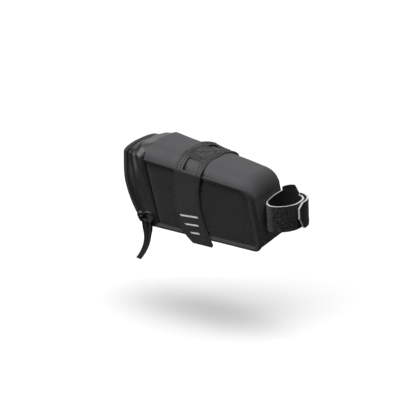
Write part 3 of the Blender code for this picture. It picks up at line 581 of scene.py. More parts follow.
TWILL = twill_material("twill", (0.0125, 0.0118, 0.0125), 0.0015)
WEAVE = weave_material("weave", (0.030, 0.029, 0.031), 0.0008, sheen=0.35, tint=(0.93, 0.90, 1.0))
SHADED_TOP_WEAVE = weave_material("top_weave_painted_shade", (0.034, 0.0325, 0.035), 0.0008, sheen=0.35, tint=(0.93, 0.90, 1.0),
                           shade_by_height=True)
PIPING = weave_material("piping_cloth", (0.021, 0.0205, 0.0215), 0.0007, roughness=0.40, sheen=0.3)
COATED = coated_material("coated", (0.008, 0.0083, 0.0088), 0.42, coat=0.55)
STRAP = coated_material("strap", (0.018, 0.018, 0.0176), 0.50, 1400.0, 0.10, sheen=0.05)
BACKING = weave_material("backing", (0.014, 0.014, 0.014), 0.0006)
CUT = coated_material("cut_edge", (0.060, 0.060, 0.062), 0.7, 2000.0, 0.3)
LIGHT_CUT = coated_material("light_cut_edge", (0.42, 0.42, 0.43), 0.7, 2000.0, 0.3)
PILE = pile_material("pile", (0.010, 0.0097, 0.010), 1100.0)
THREAD = thread_material("thread", (0.006, 0.006, 0.006))
THREAD_LIGHT = thread_material("thread_light", (0.030, 0.030, 0.030))
ZIP = weave_material("zip_tape", (0.009, 0.009, 0.010), 0.0005)
COIL = coated_material("coil", (0.016, 0.016, 0.018), 0.32, 1500.0, 0.05)
METAL = metal_material("black_metal", (0.05, 0.05, 0.053), 0.28)
LINING = weave_material("lining", (0.060, 0.060, 0.064), 0.0007, roughness=0.55)
FOIL = foil_material("reflective", (0.62, 0.63, 0.64))
PULL = weave_material("pull_tape", (0.016, 0.016, 0.0155), 0.0007, sheen=0.08)


# ---------------------------------------------------------------- camera, light, floor

def camera():
    data = bpy.data.cameras.new("camera")
    data.lens = 103.5
    data.sensor_width = 36
    data.clip_start = 0.05
    made = bpy.data.objects.new("camera", data)
    bpy.context.scene.collection.objects.link(made)
    ahead = Vector((-0.4056, 0.9540, -0.3682)).normalized()
    up = Vector((-0.2213, 0.2269, 0.9484))
    right = ahead.cross(up).normalized()
    up = right.cross(ahead)
    turn = Matrix((right, up, -ahead)).transposed()
    made.matrix_world = Matrix.Translation((0.4338, -1.0037, 0.3326)) @ turn.to_4x4()
    bpy.context.scene.camera = made


WORLD_FILL = 0.055  # the world's light on the object
WORLD_SEEN = 0.95   # and as the camera's backdrop
# suns: the direction they lean in, degrees from overhead, power, angular size in degrees
BANK = [(0.60, 0.80, lean, power, 56) for lean, power in
        ((-50, 0.55), (-32, 0.85), (-14, 1.05), (4, 0.9), (22, 0.42), (40, 0.25))]
SIDE_LIGHTS = [(0.52, 0.85, -66, 1.75, 40), (-0.35, 0.94, 66, 0.42, 50)]


def studio():
    camera()
    world = bpy.data.worlds.new("studio")
    bpy.context.scene.world = world
    world.use_nodes = True
    tree = world.node_tree
    back = tree.nodes["Background"]
    seen = tree.nodes.new("ShaderNodeLightPath")
    level = tree.nodes.new("ShaderNodeMapRange")
    level.inputs["To Min"].default_value = WORLD_FILL
    level.inputs["To Max"].default_value = WORLD_SEEN
    tree.links.new(seen.outputs["Is Camera Ray"], level.inputs[0])
    tree.links.new(level.outputs[0], back.inputs[1])
    back.inputs[0].default_value = (1, 1, 1, 1)
    for i, (x, y, lean, power, spread) in enumerate(BANK + SIDE_LIGHTS):
        sun = bpy.data.lights.new(f"bank_{i}", "SUN")
        sun.energy = power
        sun.angle = math.radians(spread)
        made = bpy.data.objects.new(f"bank_{i}", sun)
        turn = math.radians(lean)
        away = Vector((x * math.sin(turn), y * math.sin(turn), math.cos(turn)))
        made.rotation_euler = away.to_track_quat("Z", "Y").to_euler()
        bpy.context.scene.collection.objects.link(made)
    bpy.context.scene.view_settings.view_transform = "Standard"
    bpy.context.scene.view_settings.look = "None"

    n = Nodes("floor")
    n.done(Base_Color=(0.80, 0.80, 0.80, 1), Roughness=0.9, Specular_IOR_Level=0.1)
    bpy.ops.mesh.primitive_plane_add(size=14, location=(0, 0, FLOOR_Z))
    floor = bpy.context.object
    floor.name = "floor"
    floor.data.materials.append(n.material)
    floor.visible_diffuse = False
    floor.visible_glossy = False


# ---------------------------------------------------------------- body fabric

def gusset_line():
    """Side-view points, outward normals and crown heights: top, nose and front."""
    nose, foot, _ = side_arcs()
    seam = side_corners()[0]
    line = between(seam, nose[0], 64) + nose[:-1] + between(nose[-1], foot[0], 34) + [foot[0]]
    marks = [0, 64, 64 + len(nose) - 1, len(line) - 1]
    crowns = np.interp(range(len(line)), marks,
                       (CROWN_SEAM, CROWN_NOSE, CROWN_FRONT_TOP, CROWN_FRONT_BOTTOM))
    return line, side_normals(line), crowns


def side_normals(line):
    found = []
    for i in range(len(line)):
        along = (line[min(i + 1, len(line) - 1)] - line[max(i - 1, 0)]).normalized()
        found.append(Vector((-along.y, along.x)))
    return found


def gusset_points(line, ups, crowns, inset, margin, count, ripple=0.0):
    rows = []
    for i, (point, up, crown) in enumerate(zip(line, ups, crowns)):
        base = point - up * inset
        width = half_width(point.x, point.y) - margin
        row = []
        for share in across(count):
            y = share * width
            lift = crown * shoulder(y, width)
            if ripple:
                at = Vector((base.x, y, base.y))
                edge = width - abs(y)
                pucker = math.exp(-edge / 0.006) * wobble((i * 0.0016, 0, math.copysign(1, y)), 0.006, 3.0)
                lift += ripple * (wobble(at, 0.034, 1.0) * 0.9 + wobble(at, 0.015, 5.0) * 0.25) * \
                    smooth(edge / 0.004) + 0.00035 * pucker - 0.0013 * math.exp(-edge / 0.0010)
            row.append((base.x + up.x * lift, y, base.y + up.y * lift))
        rows.append(row)
    return np.array(rows)


def side_outline(inset):
    nose, foot, heel = side_arcs(inset, 20)
    return [side_corners(inset)[0], *nose, *foot, *heel]


def side_panel(side, word):
    """A slightly stuffed panel that tucks in under the piping."""
    margin = PIPING_RADIUS + 0.0007
    outline = np.array([(p.x, p.y) for p in side_outline(margin)])
    outline = resample(np.concatenate([outline, outline[:1]]), count=241)[:-1]
    seam, heel = side_corners()[0], side_corners()[3]
    along = (heel - seam).normalized()
    for p in outline:
        gap = abs((p[0] - seam.x) * along.y - (p[1] - seam.y) * along.x)
        pull = (margin - 0.0007) * smooth(1 - (gap - margin) / 0.0025)
        p += np.array([along.y, -along.x]) * pull * (1 if along.y < 0 else -1)
    centre = np.array([0.012, (TOP_Z + BOTTOM_Z) / 2 - 0.006])
    rings = np.concatenate([[1.0, 0.994, 0.986, 0.975], np.linspace(0.96, 0.04, 26)])
    starts, ends = outline, np.roll(outline, -1, 0)

    def edge_distance(p):
        seg = ends - starts
        t = np.clip(((p - starts) * seg).sum(1) / (seg ** 2).sum(1), 0, 1)
        return float(np.min(np.linalg.norm(starts + seg * t[:, None] - p, axis=1)))

    verts, uvs = [], []
    for scale in rings:
        for p in outline:
            q = centre + (p - centre) * scale
            d = edge_distance(q) if scale < 1 else 0.0
            bulge = 0.0013 * (1 - math.exp(-d / 0.008)) - 0.0013 * math.exp(-d / 0.0009)
            bulge -= 0.00045 * math.exp(-((d - 0.0021) / 0.0004) ** 2)
            bulge += 0.00045 * wobble((q[0], side, q[1]), 0.030, 2.0) * smooth(d / 0.006)
            bulge += 0.00022 * math.exp(-d / 0.005) * wobble((q[0], side * 3, q[1]), 0.0045, 8.0)
            verts.append((q[0], side * (half_width(q[0], q[1]) + bulge), q[1]))
            uvs.append((q[0] * -side, q[1]))
    count = len(outline)
    verts.append((centre[0], side * (half_width(*centre) + 0.0011), centre[1]))
    uvs.append((centre[0] * -side, centre[1]))
    tip = len(verts) - 1
    last = (len(rings) - 1) * count
    front = ring_quads(len(rings), count) + [(last + i, last + (i + 1) % count, tip) for i in range(count)]
    back = len(verts)
    verts += [(x, y - side * 0.0026, z) for x, y, z in verts]
    uvs += uvs[:back]
    rim = [((i + 1) % count, i, i + back, (i + 1) % count + back) for i in range(count)]
    if side < 0:
        front, rim = [f[::-1] for f in front], [f[::-1] for f in rim]
    faces = front + [tuple(i + back for i in reversed(f)) for f in front] + rim
    made = finish_mesh(f"side_{word}", verts, faces, uvs, None, [TWILL], "bag",
                       (f"side_panel_{word}", f"side_foam_{word}"), "twill")


def piping_line(side):
    nose, foot, _ = side_arcs(0.0, 18)
    seam = side_corners()[0]
    rear = Vector((LID_FOLD_X + 0.011, BOTTOM_Z))
    line = between(seam + Vector((0.0012, 0)), nose[0], 60) + nose[:-1] + \
        between(nose[-1], foot[0], 30) + foot[:-1] + between(foot[-1], rear, 60) + [rear]
    return [(p.x, side * half_width(p.x, p.y), p.y) for p in line]


FLANGE_MIDDLE = np.array([0.012, 0, -0.042])
SIDE_MIDDLE = np.array([0.015, 0, -0.042])


def piping(side, word):
    points = resample(piping_line(side), step=0.0011)
    radius = [PIPING_RADIUS * (1 + 0.05 * wobble(p, 0.006, 4.0)) for p in points]
    tube_piece(f"piping_{word}_cloth", points, radius, PIPING, "bag", 16, False,
               (f"piping_{word}",), "coated")
    inner = points + (FLANGE_MIDDLE - points) / np.linalg.norm(FLANGE_MIDDLE - points, axis=1,
                                                               keepdims=True) * 0.0019
    tube_piece(f"piping_{word}_flange", inner, 0.0024, THREAD, "bag", 10)
    outward = np.array([TAPER, side, SPREAD])
    run = resample(piping_line(side), step=0.001)
    inward = run - SIDE_MIDDLE
    inward[:, 1] = 0
    inward /= np.linalg.norm(inward, axis=1, keepdims=True)
    # Painted shade: thin tubes in the darkest thread colour run along both sides of the piping and stand in
    # for the shadow in the seam grooves.
    crease = run - inward * (PIPING_RADIUS + 0.0003)
    crease[:, 1] = [side * (half_width(p[0], p[2]) - 0.0002) for p in crease]
    tube_piece(f"panel_seam_painted_shadow_{word}", crease[2:-2], 0.0010, THREAD, "bag", 8)
    crease = (run + inward * 0.0015)[run[:, 2] > BOTTOM_Z + 0.004]
    crease[:, 1] -= side * 0.0019
    tube_piece(f"top_seam_painted_shadow_{word}", crease[2:], 0.0014, THREAD, "bag", 8)
    seam = run - inward * (PIPING_RADIUS + 0.0028)
    seam[:, 1] = [side * (half_width(p[0], p[2]) - 0.0001) for p in seam]
    ups = np.tile(outward / np.linalg.norm(outward), (len(seam), 1))
    return seam[3:-3], ups[3:-3]


def bottom_panel():
    _, foot, _ = side_arcs()
    rear = Vector((LID_FOLD_X, BOTTOM_Z))
    line = foot[:-1] + between(foot[-1], rear, 50) + [rear]
    ups = side_normals(line)
    points = gusset_points(line, ups, [0.0] * len(line), 0.0, PIPING_RADIUS + 0.0001, 41)
    for row in points:
        for p in row:
            side = min(1.0, (half_width(p[0], p[2]) - abs(p[1])) / 0.02)
            span = smooth((p[0] + 0.040) / 0.03) * smooth((0.070 - p[0]) / 0.02)
            p[2] -= 0.0009 * smooth(side) * span * (1 + 0.4 * wobble(p, 0.03, 6.0))
    shell("bottom_cloth", points, 0.0008, (TWILL, TWILL), "bag", ("bottom_panel",), "twill")


def body():
    line, ups, crowns = gusset_line()
    points = gusset_points(line, ups, crowns, 0.0, PIPING_RADIUS + 0.0009, 81, 0.00055)
    top = shell("top_front_cloth", points, 0.0026, (SHADED_TOP_WEAVE, LINING), "bag",
                ("top_front_panel", "top_foam"), "weave")
    bottom_panel()
    seams = []
    for side, word in ((RIGHT, "right"), (LEFT, "left")):
        side_panel(side, word)
        seams.append(piping(side, word))
    return seams


# ---------------------------------------------------------------- band, lid, lining

def drawn(x, z):
    """How far the sides lean in towards the top of the rim."""
    rise = smooth((z - TOP_Z + 0.038) / 0.040)
    return 1 - 0.125 * smooth((SEAM_X - x) / BAND_WIDTH) * rise * rise


def rear_section(x_of_z, inset=0.0, foot=0.0, side_count=24, crown_count=57):
    low = BOTTOM_Z + foot
    top = top_line(x_of_z(TOP_Z)) - inset
    side = []
    for i in range(side_count):
        z = low + (top - low) * i / side_count
        side.append((x_of_z(z), half_width(x_of_z(z), z) * drawn(x_of_z(z), z) - inset, z))
    crown = []
    for share in across(crown_count):
        x = x_of_z(TOP_Z)
        for _ in range(3):
            half = half_width(x, top) * drawn(x, top) - inset
            z = top + crown_height(x) * shoulder(share * half, half, rear_reach(x))
            x = x_of_z(z)
        crown.append((x, share * half, z))
    right = [(x, -y, z) for x, y, z in side]
    return right + crown + side[::-1]


def seam_x():
    """The band's front edge as a function of height."""
    heel = side_arcs()[2]
    line = heel[:-1] + [heel[-1].lerp(Vector((SEAM_X, TOP_Z)), i / 6) for i in range(7)]
    heights, places = [p.y for p in line], [p.x for p in line]
    return lambda z: float(np.interp(z, heights, places))


def band():
    seam = seam_x()
    slot = ZIP_SLOT / 2 - 0.0004
    rows = []
    steps = 16
    for k in range(steps + 1):
        share = k / steps
        rows.append(rear_section(lambda z: (rim_x(z) + slot) * (1 - share) + (seam(z) + 0.0004) * share,
                                 0, PIPING_RADIUS))
    points = np.array(rows)
    normals = grid_normals(points)
    if normals[steps // 2, points.shape[1] // 2, 2] < 0:
        normals = -normals
    count = points.shape[1]
    for k in range(steps + 1):
        share = k / steps
        for i in range(count):
            p = points[k, i]
            height = smooth((p[2] - BOTTOM_Z) / BODY_HEIGHT)
            fold = wobble((share * 2.1, i / count * 3.2, 0), 0.42, 7.0)
            crease = wobble((share * 3.0, i / count * 9.0, 2.0), 0.5, 2.0)
            puff = 0.0021 * math.sin(math.pi * share) ** 0.8
            edge = smooth(share * 5) * smooth((1 - share) * 5)
            lift = puff + edge * (0.0010 * height * fold + 0.0004 * crease)
            lift -= 0.0005 * math.exp(-(1 - share) * 26)
            points[k, i] += normals[k, i] * lift
    shell("rear_band_cloth", facing(points, 2, 1), 0.0009, (COATED, LINING), "bag", ("rear_band",), "coated")
    line = np.array(rear_section(lambda z: seam(z) - 0.0011, 0, PIPING_RADIUS + 0.002))
    centre = np.array([-0.05, 0, -0.045])
    ups = line - centre
    ups[:, 0] = 0
    ups /= np.linalg.norm(ups, axis=1, keepdims=True)
    return line, ups


def lining_bag():
    """The loose lining, open to the rear."""
    start = 0.0044
    nose, foot, _ = side_arcs(start, 10)
    drop = start / math.cos(TOP_SLOPE)
    low = BOTTOM_Z + start
    top_rear = Vector((rim_x(TOP_Z) + 0.0065, top_line(rim_x(TOP_Z)) - drop))
    rear_low = Vector((rim_x(low) + 0.0065, low))
    line = between(top_rear, nose[0], 30) + nose[:-1] + between(nose[-1], foot[0], 14) + foot[:-1]
    line += between(foot[-1], rear_low, 26) + [rear_low]
    ups = side_normals(line)
    first, last = 30, 30 + len(nose) - 1
    crowns = np.interp(range(len(line)), (first, last, last + 14),
                       (CROWN_NOSE, CROWN_FRONT_TOP, 0.0))
    crowns[:first] = [crown_height(p.x) for p in line[:first]]
    rows = []
    for point, up, crown in zip(line, ups, crowns):
        side = half_width(point.x, point.y) - start
        width = side + start - 0.0062
        row = []
        for y in [-side] + [s * width for s in across(33)] + [side]:
            lift = crown * shoulder(y, width) - 0.0003
            lift += 0.0003 * wobble((point.x, y, point.y), 0.012, 9.0)
            row.append((point.x + up.x * lift, y, point.y + up.y * lift))
        rows.append(row)
    shell("lining_loop", np.array(rows), 0.0004, (LINING, LINING), "bag", ("lining",), "lining")
    upper = resample([(p.x, p.y) for p in line[:first + 6]], count=30)
    lower = resample([(p.x, p.y) for p in line[first + 6:]][::-1], count=30)
    for side, word in ((RIGHT, "right"), (LEFT, "left")):
        def place(share, ends):
            x, z = ends[0] * (1 - share) + ends[1] * share
            bow = 0.0006 + 0.0005 * wobble((x, side, z), 0.016, 3.0)
            return x, side * (half_width(x, z) - start - bow), z

        points = grid(np.linspace(0, 1, 12), list(zip(upper, lower)), place)
        shell(f"lining_side_{word}", facing(points, 1, side), 0.0004, (LINING, LINING), "bag", (), "lining")


def lid_outline(back, inset, foot):
    return np.array(rear_section(lambda z: rim_x(z) - back, inset, foot))


def dome(name, outline, depth, thickness, materials, replaced, slot_name, ripple=0.0):
    """A plate that bulges to the rear inside its outline."""
    centre_z = float(outline[:, 2].mean())
    bottom = np.linspace(outline[-1], outline[0], 26)[1:-1]
    loop = np.concatenate([outline, bottom])
    scales = np.concatenate([[1.0, 0.992, 0.978, 0.955], np.linspace(0.92, 0.04, 22)])
    verts, uvs = [], []

    def place(p, scale):
        height = centre_z + (p[2] - centre_z) * scale
        back = rim_x(p[2]) - p[0]
        rise = depth * (1 - scale ** 2) ** 0.5
        q = Vector((rim_x(height) - back - rise, p[1] * scale, height))
        if ripple:
            q.x -= ripple * wobble((0, q.y, q.z), 0.022, 4.0) * smooth((1 - scale) * 6)
        return q

    for scale in scales:
        for p in loop:
            q = place(p, scale)
            verts.append(q)
            uvs.append((q.y, q.z * 1.25))
    tip = place((rim_x(centre_z) - (rim_x(loop[0][2]) - loop[0][0]), 0, centre_z), 0.0)
    verts.append(tip)
    uvs.append((tip.y, tip.z * 1.25))
    count = len(loop)
    faces = [(a, d, c, b) for a, b, c, d in ring_quads(len(scales), count)]
    last = (len(scales) - 1) * count
    faces += [(last + i, len(verts) - 1, last + (i + 1) % count) for i in range(count)]
    base = len(verts)
    verts += [Vector((v.x + thickness, v.y * 0.992, centre_z + (v.z - centre_z) * 0.992)) for v in verts]
    uvs += uvs[:base]
    kinds = [0] * len(faces) + [1] * len(faces) + [0] * count
    faces += [tuple(i + base for i in reversed(f)) for f in faces]
    faces += [(i, (i + 1) % count, (i + 1) % count + base, i + base) for i in range(count)]
    if (verts[1] - verts[0]).cross(verts[count] - verts[0]).x > 0:
        faces = [tuple(reversed(f)) for f in faces]
    return finish_mesh(name, verts, faces, uvs, kinds, materials, "lid", replaced, slot_name)


def lid():
    slot = ZIP_SLOT / 2 - 0.0004
    foot = PIPING_RADIUS + 0.0003
    steps = 6
    rows = []
    for k in range(steps + 1):
        share = k / steps
        back = slot + (LID_EDGE + 0.0004) * share
        rows.append(rear_section(lambda z: rim_x(z) - back, 0, foot))
    points = np.array(rows)
    for k in range(steps + 1):
        lift = 0.0005 * math.sin(math.pi * k / steps)
        for i in range(points.shape[1]):
            p = points[k, i]
            way = np.array([0, p[1], (p[2] + 0.045)])
            points[k, i] = p + way / np.linalg.norm(way) * lift
    shell("lid_edge_cloth", facing(points, 2, 1), 0.0008, (WEAVE, LINING), "lid", ("lid_edge",), "weave")
    back = slot + LID_EDGE + 0.0005
    outline = lid_outline(back, 0.0001, foot)
    made = dome("lid_cloth", outline, LID_DOME, 0.0024, (WEAVE, LINING),
                ("lid_panel", "lid_foam", "lid_lining"), "weave", 0.0006)
    welt = resample(lid_outline(back - 0.0001, -0.0003, foot), step=0.0012)
    tube_piece("lid_welt", welt, 0.0005, COATED, "lid", 10, False, (), "weave")


def lid_hinge():
    """The strip of cloth that the lid folds down on."""
    top = BOTTOM_Z + 0.0062
    path = [(LID_FOLD_X + 0.0085, BOTTOM_Z + 0.0010), (LID_FOLD_X + 0.0040, BOTTOM_Z + 0.0006),
            (LID_FOLD_X + 0.0010, BOTTOM_Z + 0.0007), (LID_FOLD_X - 0.0003, BOTTOM_Z + 0.0018),
            (rim_x(BOTTOM_Z + 0.0038) - 0.0016, BOTTOM_Z + 0.0038), (rim_x(top) - 0.0020, top)]

    def place(at, share):
        x, z = at
        y = (half_width(x, z) - 0.0014) * share
        return x, y, z - 0.0003 * wobble((x, y, z), 0.008, 3.0)

    points = grid(curve_through(path, 30), np.linspace(-1, 1, 41), place)
    if grid_normals(points)[2, 20, 2] > 0:
        points = points[:, ::-1]
    made = shell("lid_hinge_cloth", points, 0.0007, (WEAVE, LINING), None)
    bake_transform(made)


def zip_parts():
    slot = ZIP_SLOT / 2
    foot = PIPING_RADIUS + 0.0003
    for word, sign, body_name in (("body", 1, "bag"), ("lid", -1, "lid")):
        rows = []
        far = 0.006 if sign > 0 else slot + LID_EDGE
        for share in np.linspace(0, 1, 5):
            x = slot * 0.45 + (far - slot * 0.45) * share
            rows.append(rear_section(lambda z: rim_x(z) + sign * x, 0.0011, foot))
        shell(f"zip_tape_{word}_cloth", facing(np.array(rows), 2, 1), 0.0004, (ZIP, ZIP), body_name,
              (f"zip_tape_{word}",), "zip")
        line = rear_section(lambda z: rim_x(z) + sign * 0.00075, 0.0016, 0.003, 30, 61)
        parts = []
        teeth = resample(resample(line, step=0.0004), step=0.00125)
        for i, p in enumerate(teeth[:-1]):
            along = Vector(teeth[i + 1] - p).normalized()
            radial = Vector((-1.0, 0, 0)) * sign
            radial = (radial - along * radial.dot(along)).normalized()
            up = along.cross(radial).normalized()
            ring = []
            for t in np.linspace(0, 1, 9):
                turn = 2 * math.pi * t
                ring.append(Vector(p) + along * (0.00125 * (t - 0.5) * 0.9)
                            + radial * 0.00075 * math.cos(turn) + up * 0.00055 * math.sin(turn))
            parts.append(ring_tube([tuple(q) for q in ring], 0.00026, 6))
        finish_mesh(f"zip_coil_{word}_teeth", *merged(parts), None, [COIL], body_name,
                    (f"zip_coil_{word}",), "zip", 80)


def light_loop():
    """Webbing on the lid, sewn at both ends, raised in the middle."""
    box_low, box_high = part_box("light_loop")
    back = ZIP_SLOT / 2 + LID_EDGE + 0.0003
    seat = back + LID_DOME + 0.0012
    low, high = box_low.z, box_high.z
    half = (box_high.y - box_low.y) / 2

    def place(z, share):
        rise = 0.0050 * (0.5 + 0.5 * math.cos(math.pi * share)) ** 0.6
        fall = LID_DOME * (1 - (1 - min(1, abs(share) * half / 0.040) ** 2) ** 0.5)
        return rim_x(z) - seat - rise - 0.0010 + fall * (abs(share) > 0.8), share * half, z

    points = grid(np.linspace(low, high, 13), np.linspace(-1, 1, 61), place)
    shell("light_loop_web", facing(points, 0, -1), 0.0012, (STRAP, BACKING, CUT), "lid",
          ("light_loop",), "strap")
    lines = []
    for side in (-1, 1):
        for y in (0.86, 0.93):
            line = [(rim_x(z) - seat - 0.0011 + 0.0004, side * half * y, z)
                    for z in np.linspace(low + 0.0015, high - 0.0015, 9)]
            lines.append((line, np.tile([-1.0, 0, 0], (9, 1))))
    stitches("light_loop_stitches", lines, THREAD_LIGHT, "lid", 0.0015, 0.0006, 0.00024, 0.0004)


# ---------------------------------------------------------------- slider, ring, pull

def zip_frame():
    z = BOTTOM_Z + 0.006
    place = Vector((rim_x(z), -half_width(rim_x(z), z), z))
    outward = Vector((TAPER, -1, SPREAD)).normalized()
    radial = Vector((place.x - RIM_CENTRE.x, 0, z - RIM_CENTRE.y)).normalized()
    along = outward.cross(radial).normalized()
    if along.z < 0:
        along = -along
    return place, outward, along, along.cross(outward).normalized()


def rounded_plate(centre, axes, sizes, taper=0.0, dome_by=0.0):
    """A slider plate: rounded ends, narrower at one end, slightly domed."""
    length, width, thick = sizes
    along, over, out = axes
    count, power = 40, 0.55
    outline = []
    for i in range(count):
        turn = 2 * math.pi * i / count
        c, s = math.cos(turn), math.sin(turn)
        outline.append((math.copysign(abs(c) ** power, c) * length / 2,
                        math.copysign(abs(s) ** power, s) * width / 2 * (1 - taper * (c + 1) / 2)))
    verts, uvs = [], []
    layers = [(1.0, -0.5), (1.0, 0.25), (0.93, 0.5), (0.7, 0.5 + dome_by * 0.6), (0.35, 0.5 + dome_by)]
    for scale, height in layers:
        for a, b in outline:
            verts.append(centre + along * a * scale + over * b * scale + out * height * thick)
            uvs.append((a, b))
    faces = ring_quads(len(layers), count) + [tuple(reversed(range(count))),
                                              tuple(range(len(verts) - count, len(verts)))]
    if along.cross(over).dot(out) < 0:
        faces = [tuple(reversed(f)) for f in faces]
    return [tuple(v) for v in verts], faces, uvs


def slider_ring_and_pull():
    place, outward, along, over = zip_frame()
    fore = Vector((1, outward.x, 0)).normalized()
    up = outward.cross(fore).normalized()
    if up.z < 0:
        up = -up
    axes = (along, over, outward)
    wire = 0.0007
    reach = 2 * wire + 0.0006
    pivot = place + over * (0.0042 - reach) + outward * 0.0037
    plate = rounded_plate(place + outward * 0.00105, axes, (0.0098, 0.0084, 0.0013), 0.28, 0.25)
    under = rounded_plate(place - outward * 0.0043, axes, (0.0060, 0.0042, 0.0010), 0.2)
    neck = rounded_plate(place - outward * 0.0016, (outward, along, over), (0.0052, 0.0030, 0.0005))
    bridge = []
    for i in range(15):
        turn = math.pi * i / 14
        sink = 0.0 if 0 < i < 14 else 0.0028
        bridge.append(tuple(pivot + fore * reach * math.cos(turn)
                            + outward * (reach * math.sin(turn) - sink)))
    arch = ring_tube(resample(bridge, count=30), 0.00072, 12)
    finish_mesh("slider_metal", *merged([plate, under, neck, arch]), None, [METAL], "zip_slider",
                ("zip_slider",), "metal", 50)

    radius = 0.0125 / 2
    floor = 0.0088 - radius
    ring = []
    for i in range(25):
        turn = math.pi * i / 24
        ring.append((radius - radius * math.cos(turn), floor + radius * math.sin(turn)))
    corner = wire * 2
    for i in range(6):
        turn = math.pi / 2 * i / 5
        ring.append((2 * radius - corner * (1 - math.cos(turn)), corner * (1 - math.sin(turn))))
    for i in range(6):
        turn = math.pi / 2 * (1 - i / 5)
        ring.append((corner * (1 - math.cos(turn)), corner * (1 - math.sin(turn))))
    start = pivot - up * floor * 1.6
    points = [tuple(start + fore * u + up * v) for u, v in ring]
    tube_piece("ring_metal", points, 0.00078, METAL, "zip_hoop", 14, True, ("zip_hoop",), "metal")
    pull_tape(start + fore * radius, outward, fore)


def pull_tape(bar, outward, fore):
    """Tape folded over the ring's flat side, pleated where it is gathered, with a curl at its end."""
    down = fore.cross(outward).normalized()
    if down.z > 0:
        down = -down
    length = 0.0385
    eye = 0.0010

    def centre(at):
        share = max(0.0, at) / length
        curl = 0.006 * (math.sin(math.pi * share) * 0.4 - max(0.0, share - 0.4) ** 2 * 1.9)
        return bar + down * at + fore * curl + outward * (0.001 * share)

    def half(at):
        share = at / length
        return 0.0035 * (1 - 0.17 * share) + 0.0013 * math.exp(-(share / 0.3) ** 4)

    def row(at, lift, sign):
        made = []
        gather = math.exp(-max(0.0, at) / 0.012)
        for k in range(25):
            t = k / 12 - 1
            pleat = gather * (0.0009 * math.cos(t * 7.5 + 0.4) + 0.0004 * math.cos(t * 13))
            rib = 0.00014 * math.cos(t * math.pi * 3) * (1 - gather)
            twist = 0.0010 * t * smooth(at / length * 1.2 - 0.2)
            place = centre(at) + fore * half(at) * t
            place += outward * (lift + sign * (pleat + rib + 0.0004 * gather) + twist)
            made.append(tuple(place))
        return made

    loop = []
    thick = 0.00095
    for i in range(24):
        at = length * (1 - i / 24)
        if at < 0.0015:
            break
        loop.append((at, thick * (0.95 + 0.3 * math.exp(-at / 0.01)), 1))
    for turn in np.linspace(0.15, math.pi - 0.15, 9):
        loop.append((-(eye + thick) * math.sin(turn) * 0.95, (eye + thick) * math.cos(turn), math.cos(turn)))
    for at, lift, sign in reversed(loop[:len(loop) - 9]):
        loop.append((at, -lift, -1))
    rows = np.array([row(*item) for item in loop])
    last_row, cols = rows.shape[0] - 1, rows.shape[1]
    verts = [tuple(p) for p in rows.reshape(-1, 3)]
    u, v = lengths(rows, 1), lengths(rows, 0)
    uvs = [tuple(p) for p in np.stack([u, v], 2).reshape(-1, 2)]
    faces = []
    for r in range(last_row):
        for c in range(cols - 1):
            faces.append((r * cols + c, r * cols + c + 1, (r + 1) * cols + c + 1, (r + 1) * cols + c))
    last = last_row * cols
    for c in range(cols - 1):
        faces.append((c + 1, c, last + c, last + c + 1))
    middle = (last_row + 1) // 2
    folds = 5
    for c in (0, cols - 1):
        for r in range(middle - folds):
            a, b = r, last_row - r
            ring = (a * cols + c, (a + 1) * cols + c, (b - 1) * cols + c, b * cols + c)
            faces.append(ring if c == 0 else ring[::-1])
    outer = Vector(rows[3, 12]) - Vector(rows[-4, 12])
    first = Vector(rows[3, 13]) - Vector(rows[3, 12])
    second = Vector(rows[4, 12]) - Vector(rows[3, 12])
    if first.cross(second).dot(outer) < 0:
        faces = [tuple(reversed(f)) for f in faces]
    finish_mesh("pull_tape", verts, faces, uvs, None, [PULL], "zip_pull", ("zip_pull",), "pull", 60)
    lines = []
    for t in (-0.62, 0.62):
        line, ups = [], []
        for at in np.linspace(0.010, length - 0.001, 30):
            line.append(tuple(centre(at) + fore * half(at) * t + outward * (thick + 0.0003)))
            ups.append(tuple(outward))
        lines.append((line, ups))
    stitches("pull_stitches", lines, THREAD_LIGHT, "zip_pull", 0.0016, 0.0007, 0.00018)


# ---------------------------------------------------------------- saddle strap

def flap_centre_x(z):
    start = top_line(STRAP_X) - 0.0065
    return STRAP_X + STRAP_SWEEP * min(0.0, z - start) ** 2


def strap_shift(side, share=1.0):
    """The far end lies a little further forward."""
    return 0.0055 * smooth((share - 0.3) / 0.6) if side > 0 else 0.0


def strap_column(offset, side):
    """Underside of the strap from the middle of the bag's top down to the fold, one side."""
    points = []
    for i in range(49):
        share = math.sin(math.pi / 2 * i / 48)
        x = STRAP_X + offset + strap_shift(side, share)
        top = top_line(x)
        half = half_width(x, top)
        tilt = 0.13 * max(0.0, -offset)
        y = share * half
        z = top + crown_height(x) * shoulder(y, half)
        blend = (side * share + 1) / 2
        rise = 0.0012 + 0.0022 * blend + tilt
        edge = share ** 8
        out = STRAP_GAP * edge
        z += rise * (1 - edge)
        if side > 0:
            fold = top - FOLD_DROP
            peak = top + crown_height(x) + 0.0023 + tilt
            arch = fold + (peak - fold) * (1 - share ** 4) ** 0.25
            z += (arch - z) * smooth(share / 0.5)
        points.append((x, side * (y + out), z))
    x = STRAP_X + offset + strap_shift(side)
    top = top_line(x)
    points.append((x, side * (half_width(x, top - 0.0018) + STRAP_GAP),
                   min(top - 0.0018, points[-1][2] - 0.0004)))
    return points


